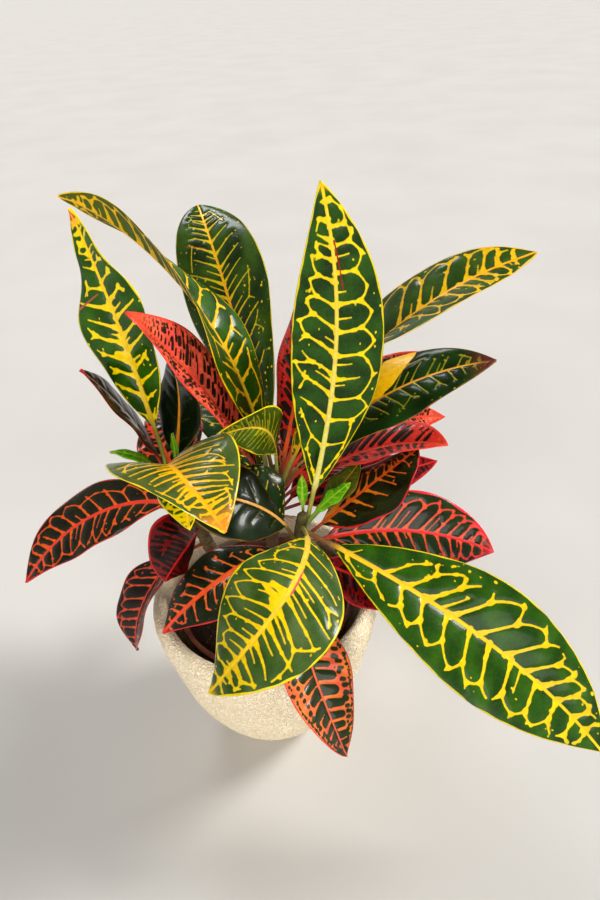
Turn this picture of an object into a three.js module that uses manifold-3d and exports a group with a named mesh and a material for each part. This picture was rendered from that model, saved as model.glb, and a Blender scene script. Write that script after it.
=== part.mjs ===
// A potted croton: three woody stems that carry long, boldly veined leaves, rooted in a thin
// nursery pot that stands inside a rough cream planter.
// Millimetres, +Z up. The origin is the centre of the planter's flat foot, and the plant is
// seen from its front when looking along +Y.

import * as THREE from "three";
import { mergeVertices } from "three/addons/utils/BufferGeometryUtils.js";
import Module from "manifold-3d";

const wasm = await Module();
wasm.setup();

// ---- Driving dimensions ----------------------------------------------------------------

const GAP = 0.3; // clearance between pieces that touch

const PLANTER = {
  height: 165,
  footRadius: 44,
  wall: 9,
  floor: 8,
  rimWidth: 13,
  // outer radius at each height, from the foot to the shoulder below the rim
  outline: [[10, 53], [28, 64], [50, 75], [75, 84], [105, 91], [135, 97], [152, 99]],
  footRound: [4, 2], // out and up from the foot's edge
  // the soft round over the rim, in shares of its width: in from the shoulder, down from the top
  rimRound: [[0.15, 0.3], [0.45, 0], [0.75, 0.08], [1, 0.45]],
  sides: 44,
};

const NURSERY_POT = { bottomRadius: 37, topRadius: 74, height: 142, wall: 1.2, lip: 3, sides: 36 };

const SOIL = { top: 139, dome: 4, lump: 1.6, sides: 32, rings: 5 };

// Each stem's axis passes through three points: the soil line, the middle and the growing tip.
const STEMS = {
  front: [[20, -4, 140], [29, -7, 200], [37, -12, 252]],
  left: [[-28, 18, 140], [-47, 10, 215], [-63, 0, 296]],
  back: [[4, 38, 140], [10, 41, 200], [16, 42, 260]],
};
const STEM = {
  baseRadius: 6.5,
  tipRadius: 4.6,
  rootDepth: 45,
  clearHeight: 20, // how far above the soil line its hole is cut free
  scar: 0.35, // depth of the grooves between leaf scars
  bud: [0.6, 0.5], // height and radius of the growing tip, in tip radii
  sides: 10,
  rings: 15,
};

const LEAF = {
  blade: 0.8, // thickness of the blade
  edge: 0.35, // half thickness where the petiole's sides end
  petioleBase: 1.1, // radius of the thinnest petiole
  petiolePerLength: 1 / 350, // added radius per millimetre of leaf
  seat: 0.4, // clearance between a petiole's end and its stem
  flare: 3, // petiole radii over which the petiole flattens into the blade
  tip: 0.5, // half width at the very tip
  bendPower: 1.3, // how far towards the tip a leaf keeps its droop
  widest: 1.05, // moves the widest place along the blade
  fullness: 0.85, // under 1 gives a fuller outline
  arch: 0.16, // how much each half of the blade curves down towards its margin
  waves: 2.5, // waves along each margin
  waveShift: 1.9, // phase between the two margins, radians
};

// One row for each leaf. The height is where it leaves its stem. Azimuth turns anticlockwise
// from +X, rise is the slope at the stem, droop the bend down to the tip and swing the bend
// sideways. Roll turns the face about the midrib at the stem, and twist adds to it by the tip.
// Length runs along the midrib from stem to tip, petiole included. Fold lifts each half of
// the blade, and wave is the height of the margin's ripple.
// name, stem, height, azimuth, rise, droop, swing, roll, twist,
//   length, petiole, width, fold, wave, kind
const LEAVES = [
  ["leaf_front_01", "front", 236, -32, -10, 41, 5, 10, 36, 288, 24, 94, 15, 1.5, "gold"],
  ["leaf_front_02", "front", 248, 40, 72, -30, -48, 60, 50, 256, 22, 71, 19, 1.5, "gold"],
  ["leaf_front_03", "front", 243, -77, 24, 74, -84, -28, 28, 174, 20, 85, 2, 1.5, "gold"],
  ["leaf_front_04", "front", 228, 4, 41, 21, 25, 0, -20, 116, 16, 73, 0, 1.5, "ember"],
  ["leaf_front_05", "front", 240, 28, 32, 4, 16, -6, -4, 66, 14, 30, 12, 1, "young"],
  ["leaf_front_06", "front", 232, -146, 70, 88, -48, -30, 15, 118, 16, 66, 4, 1.5, "night"],
  ["leaf_front_07", "front", 218, 10, 8, 35, -22, 38, 10, 163, 18, 69, 12, 2, "ember"],
  ["leaf_front_08", "front", 205, -35, 12, 40, 0, 0, 0, 100, 16, 52, 12, 1.5, "crimson"],
  ["leaf_front_09", "front", 198, -95, -10, 56, 45, -9, -4, 160, 18, 62, 25, 1.5, "ember"],
  ["leaf_front_10", "front", 222, -152, 6, 36, 12, -32, 46, 125, 16, 61, 6, 1.5, "ember"],
  ["leaf_front_11", "front", 227, 152, 58, 18, 4, -12, 0, 73, 14, 54, 10, 1.5, "night"],
  ["leaf_front_12", "front", 249, 80, 82, -4, 0, 0, 0, 36, 6, 10, 20, 0.5, "young"],
  ["leaf_front_13", "front", 247, 6, 50, 34, 22, 0, 10, 45, 7, 15, 6, 1.5, "young"],
  ["leaf_left_01", "left", 288, 127, 78, 26, -1, -48, -25, 206, 40, 66, 18, 2, "gold"],
  ["leaf_left_02", "left", 290, -85, 60, 97, 38, 20, -43, 146, 12, 93, 26, 1.5, "gold"],
  ["leaf_left_03", "left", 278, -70, 56, 83, -11, 9, 9, 99, 12, 39, 16, 1, "gold"],
  ["leaf_left_04", "left", 278, 141, 69, 14, 62, 56, -62, 115, 14, 56, 10, 1, "ember"],
  ["leaf_left_05", "left", 288, 80, 50, -58, -34, -4, -14, 95, 12, 50, 10, 1, "night"],
  ["leaf_left_06", "left", 270, 109, 29, 13, 18, 0, 0, 70, 12, 42, 12, 1, "ember"],
  ["leaf_left_07", "left", 250, 142, -8, 36, 84, -43, 33, 180, 16, 60, 12, 2, "ember"],
  ["leaf_left_08", "left", 232, -84, 30, 80, -58, -80, -5, 64, 10, 68, -10, 1, "crimson"],
  ["leaf_left_09", "left", 210, -147, 0, 89, 30, 15, 5, 114, 14, 58, 31, 1.5, "ember"],
  ["leaf_back_01", "back", 252, 152, 86, 70, 6, -34, 104, 290, 30, 77, 22, 2, "gold"],
  ["leaf_back_02", "back", 254, 111, 66, 52, -6, -76, 70, 266, 24, 80, 10, 1.5, "night"],
  ["leaf_back_03", "back", 240, -163, 73, 19, 15, -20, -20, 206, 20, 68, 28, 1.5, "coral"],
  ["leaf_back_04", "back", 248, 41, 71, -16, -25, 22, -18, 180, 20, 53, 12, 1.5, "ember"],
  ["leaf_back_05", "back", 257, -74, 86, 88, -75, -94, -10, 124, 24, 42, 20, 1, "gold"],
  ["leaf_back_06", "back", 246, 1, 68, 59, 8, -61, 90, 282, 26, 85, 24, 2, "gold"],
  ["leaf_back_07", "back", 238, 11, 52, 43, -22, -6, 36, 213, 22, 70, 11, 1.5, "night"],
  ["leaf_back_08", "back", 234, 48, 36, 24, -37, 6, 22, 190, 20, 55, 12, 1.5, "coral"],
  ["leaf_back_09", "back", 230, 42, 26, 36, -42, 15, 20, 176, 18, 49, 12, 1.5, "coral"],
  ["leaf_back_10", "back", 224, 18, 35, 19, -62, -18, 28, 164, 18, 70, 24, 1.5, "coral"],
  ["leaf_back_11", "back", 214, -2, 21, 16, 14, 14, 11, 145, 18, 46, 12, 1.5, "crimson"],
  ["leaf_back_13", "back", 222, 70, 30, 62, 0, 0, 0, 175, 20, 60, 14, 2, "ember"],
  ["leaf_back_14", "back", 222, 114, 34, 60, 6, 0, -8, 180, 20, 62, 14, 2, "night"],
  ["leaf_back_15", "back", 216, 134, 16, 52, -10, 0, 10, 140, 18, 56, 14, 1.5, "crimson"],
  ["leaf_back_16", "back", 208, 48, 14, 58, 8, 0, 6, 150, 18, 54, 14, 1.5, "crimson"],
  ["leaf_back_17", "back", 198, 92, 8, 60, -6, 0, -6, 140, 16, 54, 14, 1.5, "ember"],
  ["leaf_left_10", "left", 262, 98, 26, 58, 10, 0, 8, 140, 16, 52, 14, 1.5, "ember"],
  ["leaf_left_11", "left", 238, 138, 4, 60, 10, 0, -8, 130, 16, 56, 14, 1.5, "night"],
  ["leaf_left_12", "left", 292, 188, 62, 64, -10, 0, 0, 46, 6, 13, 8, 0.5, "young"],
  ["leaf_left_13", "left", 292, 50, 84, -6, 0, 0, 0, 33, 5, 9, 10, 0.5, "young"],
];

const COLOURS = {
  gold: 0x2f5a14,
  night: 0x18301a,
  ember: 0x35301c,
  coral: 0xc4402e,
  crimson: 0x8c2126,
  young: 0x5d9a26,
  bark: 0x6b4c33,
  ceramic: 0xe8d6b6,
  plastic: 0x5a2b1c,
  soil: 0x2a1a10,
};

// ---- Helpers ---------------------------------------------------------------------------

const radians = THREE.MathUtils.degToRad;
const mix = THREE.MathUtils.lerp;
const clamp = THREE.MathUtils.clamp;

function material(colour, roughness) {
  return new THREE.MeshStandardMaterial({ color: colour, roughness, metalness: 0 });
}

function geometryOf(points, faces) {
  const geometry = new THREE.BufferGeometry().setFromPoints(points);
  geometry.setIndex(faces.flat());
  geometry.computeVertexNormals();
  return geometry;
}

// Rings of equally many points, skinned into one closed body. Where a ring's second half runs
// back over its first, as round a blade, "doubled" splits the cells of both halves alike.
function loft(rings, doubled = false) {
  const count = rings[0].length;
  const faces = [];
  for (let i = 0; i + 1 < rings.length; i++)
    for (let k = 0; k < count; k++) {
      const next = (k + 1) % count;
      const a = i * count + k;
      const b = i * count + next;
      const [c, d] = [a + count, b + count];
      if (doubled && k >= count / 2) faces.push([a, b, c], [b, d, c]);
      else faces.push([a, b, d], [a, d, c]);
    }
  const last = (rings.length - 1) * count;
  for (let k = 1; k + 1 < count; k++) {
    faces.push([0, k + 1, k]);
    faces.push([last, last + k, last + k + 1]);
  }
  return geometryOf(rings.flat(), faces);
}

function solidOf(geometry) {
  const bare = geometry.clone();
  bare.deleteAttribute("normal");
  bare.deleteAttribute("uv");
  const merged = mergeVertices(bare, 1e-4);
  const vertProperties = new Float32Array(merged.attributes.position.array);
  const triVerts = new Uint32Array(merged.index.array);
  return new wasm.Manifold(new wasm.Mesh({ numProp: 3, vertProperties, triVerts }));
}

function geometryFrom(solid) {
  const mesh = solid.getMesh();
  const geometry = new THREE.BufferGeometry();
  geometry.setAttribute("position", new THREE.BufferAttribute(mesh.vertProperties, 3));
  geometry.setIndex(new THREE.BufferAttribute(mesh.triVerts, 1));
  geometry.computeVertexNormals();
  return geometry;
}

// ---- Pots and soil ---------------------------------------------------------------------

// A lathe turns about +Y, so its profile's height is turned up to +Z.
function turned(profile, sides) {
  const points = profile.map(([radius, height]) => new THREE.Vector2(radius, height));
  return new THREE.LatheGeometry(points, sides).rotateX(Math.PI / 2);
}

function planterGeometry() {
  const { height, footRadius, wall, floor, rimWidth, outline, footRound, rimRound } = PLANTER;
  const [, shoulder] = outline.at(-1);
  const inner = outline.filter(([z]) => z > floor + wall).map(([z, r]) => [r - wall, z]).reverse();
  return turned(
    [
      [0, 0],
      [footRadius, 0],
      [footRadius + footRound[0], footRound[1]],
      ...outline.map(([z, r]) => [r, z]),
      ...rimRound.map(([inward, down]) => [shoulder - inward * rimWidth, height - down * rimWidth]),
      ...inner.slice(1),
      [footRadius - 3, floor],
      [0, floor],
    ],
    PLANTER.sides,
  );
}

function nurseryRadius(z) {
  const { bottomRadius, topRadius, height } = NURSERY_POT;
  const foot = PLANTER.floor + GAP;
  return mix(bottomRadius, topRadius, (z - foot) / height);
}

function nurseryPotGeometry() {
  const { height, wall, lip, sides } = NURSERY_POT;
  const foot = PLANTER.floor + GAP;
  const top = foot + height;
  return turned(
    [
      [0, foot],
      [nurseryRadius(foot), foot],
      [nurseryRadius(top - 2 * lip), top - 2 * lip],
      [nurseryRadius(top - 2 * lip) + lip, top - 2 * lip],
      [nurseryRadius(top) + lip, top],
      [nurseryRadius(top) - wall, top],
      [nurseryRadius(foot + wall) - wall, foot + wall],
      [0, foot + wall],
    ],
    sides,
  );
}

// The soil fills the nursery pot, and its top is a low, lumpy dome with a hole for each stem.
function soilGeometry() {
  const { top, dome, lump, sides, rings } = SOIL;
  const bottom = PLANTER.floor + NURSERY_POT.wall + 2 * GAP;
  const radiusAt = (z) => nurseryRadius(z) - NURSERY_POT.wall - GAP;
  const layers = [];
  layers.push([bottom, 1, 0], [mix(bottom, top, 0.5), 1, 0], [top, 1, 0]);
  for (let i = rings - 1; i >= 1; i--) layers.push([top, i / rings, 1]);
  const circles = layers.map(([z, share, domed]) =>
    Array.from({ length: sides }, (_, k) => {
      const angle = (2 * Math.PI * k) / sides;
      const reach = share * radiusAt(z);
      const rise = domed * dome * (1 - share * share);
      const lumps = domed * lump * Math.sin(5 * angle + 9 * share) * Math.cos(3 * angle - 7 * share);
      return new THREE.Vector3(reach * Math.cos(angle), reach * Math.sin(angle), z + rise + lumps);
    }),
  );
  let solid = solidOf(loft(circles));
  for (const name of Object.keys(STEMS)) solid = solid.subtract(solidOf(stemHole(name)));
  return geometryFrom(solid);
}

// ---- Stems -----------------------------------------------------------------------------

function stemPoint(name, z) {
  const [low, middle, high] = STEMS[name].map((p) => new THREE.Vector3(...p));
  const t = (z - low.z) / (high.z - low.z);
  const m = (middle.z - low.z) / (high.z - low.z);
  return new THREE.Vector3()
    .addScaledVector(low, ((t - m) * (t - 1)) / m)
    .addScaledVector(middle, (t * (t - 1)) / (m * (m - 1)))
    .addScaledVector(high, (t * (t - m)) / (1 - m));
}

function stemLean(name) {
  const low = new THREE.Vector3(...STEMS[name][0]);
  return stemPoint(name, low.z + 1).sub(low).normalize();
}

function stemRadius(name, z) {
  const [low, , high] = STEMS[name];
  return mix(STEM.baseRadius, STEM.tipRadius, (z - low[2]) / (high[2] - low[2]));
}

function levelCircle(centre, radius) {
  return Array.from({ length: STEM.sides }, (_, k) => {
    const angle = (2 * Math.PI * k) / STEM.sides;
    return new THREE.Vector3(radius * Math.cos(angle), radius * Math.sin(angle), 0).add(centre);
  });
}

// Straight below the soil line, then bowed up to the tip, with a leaf scar at every other ring.
function stemGeometry(name) {
  const [low, , high] = STEMS[name];
  const lean = stemLean(name);
  const base = new THREE.Vector3(...low);
  const centres = [];
  for (const depth of [STEM.rootDepth, 0]) {
    const centre = base.clone().addScaledVector(lean, -depth);
    centres.push([centre, STEM.baseRadius]);
  }
  for (let i = 1; i <= STEM.rings; i++) {
    const z = mix(low[2], high[2], i / STEM.rings);
    const ridge = i % 2 ? -STEM.scar : 0;
    centres.push([stemPoint(name, z), stemRadius(name, z) + ridge]);
  }
  const [budHeight, budRadius] = STEM.bud;
  const tip = stemPoint(name, high[2]).addScaledVector(lean, STEM.tipRadius * budHeight);
  centres.push([tip, STEM.tipRadius * budRadius]);
  return loft(centres.map(([centre, radius]) => levelCircle(centre, radius)));
}

// The hole follows the buried stem, whose cross-sections are level.
function stemHole(name) {
  const lean = stemLean(name);
  const soilLine = new THREE.Vector3(...STEMS[name][0]);
  const ends = [-STEM.rootDepth - GAP, STEM.clearHeight];
  return loft(
    ends.map((along) =>
      levelCircle(soilLine.clone().addScaledVector(lean, along), STEM.baseRadius + GAP),
    ),
  );
}

// ---- Leaves ----------------------------------------------------------------------------

function leafOf(row) {
  const [name, stem, height, azimuth, rise, droop, swing, roll, twist] = row;
  const [length, petiole, width, fold, wave, kind] = row.slice(9);
  const petioleRadius = LEAF.petioleBase + length * LEAF.petiolePerLength;
  return {
    name, stem, height, azimuth, rise, droop, swing, roll, twist,
    length, petiole, width, fold, wave, kind, petioleRadius,
  };
}

function headingAt(leaf, s) {
  const slope = radians(leaf.rise - leaf.droop * s ** LEAF.bendPower);
  const turn = radians(leaf.azimuth + leaf.swing * s);
  return { slope, turn };
}

// The midrib is walked in short straight steps, so that bends add up along its real length.
const WALK_STEPS = 120;

function midribOf(leaf) {
  const turn = radians(leaf.azimuth);
  const lift = Math.abs(Math.sin(radians(leaf.rise)));
  const reach = stemRadius(leaf.stem, leaf.height) + LEAF.seat + leaf.petioleRadius * lift;
  const point = stemPoint(leaf.stem, leaf.height);
  point.add(new THREE.Vector3(Math.cos(turn), Math.sin(turn), 0).multiplyScalar(reach));
  const points = [point.clone()];
  for (let i = 0; i < WALK_STEPS; i++) {
    const { slope, turn: heading } = headingAt(leaf, (i + 0.5) / WALK_STEPS);
    const step = new THREE.Vector3(
      Math.cos(slope) * Math.cos(heading),
      Math.cos(slope) * Math.sin(heading),
      Math.sin(slope),
    );
    point.addScaledVector(step, leaf.length / WALK_STEPS);
    points.push(point.clone());
  }
  return points;
}

function pointOn(points, s) {
  const place = s * (points.length - 1);
  const i = Math.min(Math.floor(place), points.length - 2);
  return points[i].clone().lerp(points[i + 1], place - i);
}

// The unit vectors across the blade and out of its upper face.
function faceAt(leaf, s) {
  const { slope, turn } = headingAt(leaf, s);
  const roll = radians(leaf.roll + leaf.twist * s);
  const side = new THREE.Vector3(-Math.sin(turn), Math.cos(turn), 0);
  const up = new THREE.Vector3(
    -Math.sin(slope) * Math.cos(turn),
    -Math.sin(slope) * Math.sin(turn),
    Math.cos(slope),
  );
  return {
    across: side.clone().multiplyScalar(Math.cos(roll)).addScaledVector(up, Math.sin(roll)),
    out: up.clone().multiplyScalar(Math.cos(roll)).addScaledVector(side, -Math.sin(roll)),
  };
}

function halfWidthAt(leaf, u) {
  const outline = (leaf.width / 2) * Math.sin(Math.PI * u ** LEAF.widest) ** LEAF.fullness;
  return Math.max(outline, u < 0.5 ? leaf.petioleRadius : LEAF.tip);
}

// One closed body: a ring of points round the leaf at each station, upper face first.
function leafGeometry(row) {
  const leaf = leafOf(row);
  const points = midribOf(leaf);
  const cells = leaf.length > 110 ? 2 : 1; // cells across each half of the blade
  const stations = leaf.length > 170 ? 13 : 11;
  const bladeStart = leaf.petiole / leaf.length;
  const places = [0, bladeStart / 2];
  for (let i = 0; i <= stations; i++) {
    const even = i / stations;
    const u = mix(even, 0.5 - 0.5 * Math.cos(Math.PI * even), 0.5);
    places.push(bladeStart + (1 - bladeStart) * u);
  }
  const rings = places.map((s) => {
    const u = clamp((s - bladeStart) / (1 - bladeStart), 0, 1);
    const centre = pointOn(points, s);
    const { across, out } = faceAt(leaf, s);
    const half = halfWidthAt(leaf, u);
    const bladed = clamp((half / leaf.petioleRadius - 1) / LEAF.flare, 0, 1);
    const rib = mix(leaf.petioleRadius, LEAF.blade, u);
    const upper = [];
    const lower = [];
    for (let k = -cells; k <= cells; k++) {
      const t = k / cells;
      const sine = Math.sin(radians(leaf.fold));
      const ripple = Math.sin(2 * Math.PI * LEAF.waves * u + (t > 0 ? 0 : LEAF.waveShift));
      const bend = bladed * half * (sine * Math.abs(t) - LEAF.arch * t * t);
      const rippled = leaf.wave * t * t * ripple * Math.sqrt(Math.sin(Math.PI * u));
      const offset = half * t * Math.cos(bladed * radians(leaf.fold));
      const round = Math.max(leaf.petioleRadius * Math.sqrt(1 - t * t), LEAF.edge);
      const flat = LEAF.blade / 2;
      const middle = centre
        .clone()
        .addScaledVector(across, offset)
        .addScaledVector(out, bend + (rippled || 0));
      upper.push(middle.clone().addScaledVector(out, mix(round, flat, bladed)));
      lower.push(middle.clone().addScaledVector(out, -mix(round, k ? flat : rib, bladed)));
    }
    return [...lower, ...upper.reverse()];
  });
  return loft(rings, true);
}

// ---- The plant -------------------------------------------------------------------------

const croton = new THREE.Group();

function addPiece(name, geometry, look) {
  const mesh = new THREE.Mesh(geometry, look);
  mesh.name = name;
  croton.add(mesh);
}

addPiece("planter", planterGeometry(), material(COLOURS.ceramic, 0.75));
addPiece("nursery_pot", nurseryPotGeometry(), material(COLOURS.plastic, 0.5));
addPiece("soil", soilGeometry(), material(COLOURS.soil, 1));
for (const name of Object.keys(STEMS))
  addPiece(`stem_${name}`, stemGeometry(name), material(COLOURS.bark, 0.8));
for (const row of LEAVES) addPiece(row[0], leafGeometry(row), material(COLOURS[row.at(-1)], 0.3));

export default croton;
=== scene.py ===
# A potted croton. Fine leaves with painted veins, bark, soil and a rough cream planter are built
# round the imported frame. Shapes are worked out in millimetres and put into the scene in metres.

import math
import zlib

import bpy
import numpy as np
from mathutils import Matrix, Vector, noise


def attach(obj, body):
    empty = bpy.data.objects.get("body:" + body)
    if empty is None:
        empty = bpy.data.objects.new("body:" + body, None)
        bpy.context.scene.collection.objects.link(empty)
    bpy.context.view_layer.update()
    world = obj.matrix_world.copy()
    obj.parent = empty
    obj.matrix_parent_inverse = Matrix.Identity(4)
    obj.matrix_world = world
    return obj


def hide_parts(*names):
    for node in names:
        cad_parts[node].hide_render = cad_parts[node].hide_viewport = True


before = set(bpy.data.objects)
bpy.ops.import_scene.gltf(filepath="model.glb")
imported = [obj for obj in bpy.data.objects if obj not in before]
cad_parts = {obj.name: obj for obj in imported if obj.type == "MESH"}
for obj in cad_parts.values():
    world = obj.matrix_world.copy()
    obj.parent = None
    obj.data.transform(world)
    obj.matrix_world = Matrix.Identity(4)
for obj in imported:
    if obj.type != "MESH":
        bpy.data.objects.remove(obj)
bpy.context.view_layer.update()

MM = 0.001
TAU = 2 * math.pi

# ---- Driving dimensions, in millimetres, degrees and shares, with the camera in metres ----

LEAF_GRID = 1  # spacing of a leaf's points
FAR = 6.0  # distances from a vein are measured up to here

STEMS = {
    "front": [(20, -4, 140), (29, -7, 200), (37, -12, 252)],
    "left": [(-28, 18, 140), (-47, 10, 215), (-63, 0, 296)],
    "back": [(4, 38, 140), (10, 41, 200), (16, 42, 260)],
}
STEM = {
    "base": 6.5, "tip": 4.6, "root": 40, "root_rings": 20, "cap": 0.6, "cap_rings": 8,
    "sides": 40, "step": 0.9, "sunk": 0.15, "ridge": 0.22, "ridge_size": 2.2,
    "grain": (1, 1, 0.35), "first_scar": 4, "scar_every": 8.5, "scar_width": 0.09, "scar": 0.4,
    "scar_tint": 0.55, "green_from": (0.75, 0.3),
}

LEAF = {
    "seat": 0.4,  # clearance between a petiole's end and its stem in the frame
    "petiole": 1.1, "petiole_per_length": 1 / 350, "root_bend": 5, "root_steps": 9,
    "swell": 0.45, "swell_rows": 4,
    "steps": 960,  # in which the midrib is walked
    "least_across": 5,  # columns on one half
    "bend_power": 1.3, "flare": 3, "taper_run": 0.25, "tip": 0.2, "arch": 0.16, "crease": 0.04,
    "waves": 2.5, "wave_shift": 1.9, "half_thickness": 0.26,
    "keel": 0.3, "keel_width": 0.9, "keel_power": 0.7,
    "pucker": 0.8,  # how far the blade swells between its veins
    "pucker_run": 2.6,
}

# One row for each leaf: height on its stem, azimuth, rise, droop, swing, roll, twist, length,
# petiole, width, fold, wave, kind. Azimuth turns anticlockwise from +X, rise is the slope at
# the stem, droop the bend down to the tip and swing the bend sideways. Roll turns the face
# about the midrib and twist adds to it by the tip. A leaf's name begins with its stem's.
LEAVES = {
    "front_01": (236, -32, -10, 41, 5, 10, 36, 288, 24, 94, 15, 1.5, "gold"),
    "front_02": (248, 40, 72, -30, -48, 60, 50, 256, 22, 71, 19, 1.5, "gold"),
    "front_03": (243, -77, 24, 74, -84, -28, 28, 174, 20, 85, 2, 1.5, "gold"),
    "front_04": (228, 4, 41, 21, 25, 0, -20, 116, 16, 73, 0, 1.5, "ember"),
    "front_05": (240, 28, 32, 4, 16, -6, -4, 66, 14, 30, 12, 1, "young"),
    "front_06": (232, -146, 70, 88, -48, -30, 15, 118, 16, 66, 4, 1.5, "night"),
    "front_07": (218, 10, 8, 35, -22, 38, 10, 163, 18, 69, 12, 2, "ember"),
    "front_08": (205, -35, 12, 40, 0, 0, 0, 100, 16, 52, 12, 1.5, "crimson"),
    "front_09": (198, -95, -10, 56, 45, -9, -4, 160, 18, 62, 25, 1.5, "ember"),
    "front_10": (222, -152, 6, 36, 12, -32, 46, 125, 16, 61, 6, 1.5, "ember"),
    "front_11": (227, 152, 58, 18, 4, -12, 0, 73, 14, 54, 10, 1.5, "night"),
    "front_12": (249, 80, 82, -4, 0, 0, 0, 36, 6, 10, 20, 0.5, "young"),
    "front_13": (247, 6, 50, 34, 22, 0, 10, 45, 7, 15, 6, 1.5, "young"),
    "left_01": (288, 127, 78, 26, -1, -48, -25, 206, 40, 66, 18, 2, "gold"),
    "left_02": (290, -85, 60, 97, 38, 20, -43, 146, 12, 93, 26, 1.5, "gold"),
    "left_03": (278, -70, 56, 83, -11, 9, 9, 99, 12, 39, 16, 1, "gold"),
    "left_04": (278, 141, 69, 14, 62, 56, -62, 115, 14, 56, 10, 1, "ember"),
    "left_05": (288, 80, 50, -58, -34, -4, -14, 95, 12, 50, 10, 1, "night"),
    "left_06": (270, 109, 29, 13, 18, 0, 0, 70, 12, 42, 12, 1, "ember"),
    "left_07": (250, 142, -8, 36, 84, -43, 33, 180, 16, 60, 12, 2, "ember"),
    "left_08": (232, -84, 30, 80, -58, -80, -5, 64, 10, 68, -10, 1, "crimson"),
    "left_09": (210, -147, 0, 89, 30, 15, 5, 114, 14, 58, 31, 1.5, "ember"),
    "back_01": (252, 152, 86, 70, 6, -34, 104, 290, 30, 77, 22, 2, "gold"),
    "back_02": (254, 111, 66, 52, -6, -76, 70, 266, 24, 80, 10, 1.5, "night"),
    "back_03": (240, -163, 73, 19, 15, -20, -20, 206, 20, 68, 28, 1.5, "coral"),
    "back_04": (248, 41, 71, -16, -25, 22, -18, 180, 20, 53, 12, 1.5, "ember"),
    "back_05": (257, -74, 86, 88, -75, -94, -10, 124, 24, 42, 20, 1, "gold"),
    "back_06": (246, 1, 68, 59, 8, -61, 90, 282, 26, 85, 24, 2, "gold"),
    "back_07": (238, 11, 52, 43, -22, -6, 36, 213, 22, 70, 11, 1.5, "night"),
    "back_08": (234, 48, 36, 24, -37, 6, 22, 190, 20, 55, 12, 1.5, "coral"),
    "back_09": (230, 42, 26, 36, -42, 15, 20, 176, 18, 49, 12, 1.5, "coral"),
    "back_10": (224, 18, 35, 19, -62, -18, 28, 164, 18, 70, 24, 1.5, "coral"),
    "back_11": (214, -2, 21, 16, 14, 14, 11, 145, 18, 46, 12, 1.5, "crimson"),
    "back_13": (222, 70, 30, 62, 0, 0, 0, 175, 20, 60, 14, 2, "ember"),
    "back_14": (222, 114, 34, 60, 6, 0, -8, 180, 20, 62, 14, 2, "night"),
    "back_15": (216, 134, 16, 52, -10, 0, 10, 140, 18, 56, 14, 1.5, "crimson"),
    "back_16": (208, 48, 14, 58, 8, 0, 6, 150, 18, 54, 14, 1.5, "crimson"),
    "back_17": (198, 92, 8, 60, -6, 0, -6, 140, 16, 54, 14, 1.5, "ember"),
    "left_10": (262, 98, 26, 58, 10, 0, 8, 140, 16, 52, 14, 1.5, "ember"),
    "left_11": (238, 138, 4, 60, 10, 0, -8, 130, 16, 56, 14, 1.5, "night"),
    "left_12": (292, 188, 62, 64, -10, 0, 0, 46, 6, 13, 8, 0.5, "young"),
    "left_13": (292, 50, 84, -6, 0, 0, 0, 33, 5, 9, 10, 0.5, "young"),
}
LEAF_WORDS = ("height", "azimuth", "rise", "droop", "swing", "roll", "twist",
              "length", "petiole", "width", "fold", "wave", "kind")

PLANTER = {
    "height": 165, "foot": 44, "wall": 9, "floor": 8, "rim": 13, "middle": 2,
    "outline": [(10, 53), (28, 64), (50, 75), (75, 84), (105, 91), (135, 97), (152, 99)],
    "rim_round": [(0.15, 0.3), (0.45, 0), (0.75, 0.08), (1, 0.45)],
    "foot_round": [(0, 0), (3, 0.8), (5, 3.6)], "floor_round": [(-3, 1), (-8, 0)],
    "sides": 440, "step": 1.35, "inner_step": 4, "foot_rings": 12, "floor_rings": 10,
    "wrinkle": 0.38, "wrinkle_size": 3.0, "wrinkle_slope": 3.6, "swell": 0.25, "swell_size": 30,
    "sunk": 0.2, "smoother_inside": 0.85, "inward": (2, 8), "foot_fade": (0.0, 3.0),
}
NURSERY_POT = {
    "bottom": 37, "top": 74, "height": 142, "wall": 1.2, "lip": 3, "foot": 8.3, "middle": 3,
    "sides": 200, "step": 3,
}
SOIL = {
    "top": 139, "dome": 4, "lump": 1.6, "bottom": 9.8, "gap": 0.3, "sides": 260, "rings": 62,
    "wall_rings": 12, "crumbs": [(1.3, 7, 3), (0.7, 2.4, 2)],  # height, size and octaves
    "seed": 41, "chips": 260, "chip_reach": 0.95, "chip_lift": 0.8,
}
CHIP = {
    "length": (2, 7), "width": (1.2, 3), "height": (0.6, 1.6), "tilt": 0.35, "sides": 8,
    "rings": 6, "uneven": (0.85, 1.1),
}

CAMERA = {"place": (0.038, -0.419, 0.604), "pitch": 35.3, "roll": -3.3, "focal_pixels": 677}
PICTURE_HEIGHT = 900  # pixels
SENSOR = 36
FLOOR_REACH = 80000
SKY = {"From Min": 0.1, "From Max": 0.6, "To Min": 0.78, "To Max": 0.3}
LAMPS = {  # where each shines from, its strength, its spread and its colour
    "window": ((1.0, 0.32, 0.8), 3.3, 18, (1.0, 0.98, 0.94)),
    "sky": ((-0.35, 0.75, 0.9), 0.9, 16, (0.98, 0.99, 1.0)),
    "fill": ((-0.1, -1.0, 0.44), 2.55, 60, (1.0, 0.96, 0.9)),
}

# ---- Colours and veins ----

# Colours are given as they look on screen, 0 to 255. A pair is blended by clouds of noise.
COLOURS = {
    "bark": ((84, 62, 42), (128, 102, 72)), "green_bark": ((60, 58, 26), (98, 88, 44)),
    "scar": (52, 34, 24), "planter": ((248, 231, 198), (253, 240, 212)),
    # The wrinkle colour is painted shade, laid in the planter's wrinkle grooves.
    "wrinkle": (218, 188, 142), "planter_inside": ((222, 200, 164), (234, 214, 180)),
    "nursery_pot": ((84, 36, 22), (122, 66, 42)), "soil": ((26, 17, 11), (66, 45, 29)),
    "chip": (104, 74, 48), "floor": ((190, 188, 185), (196, 194, 191)), "sky": (240, 238, 235),
}

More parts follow.
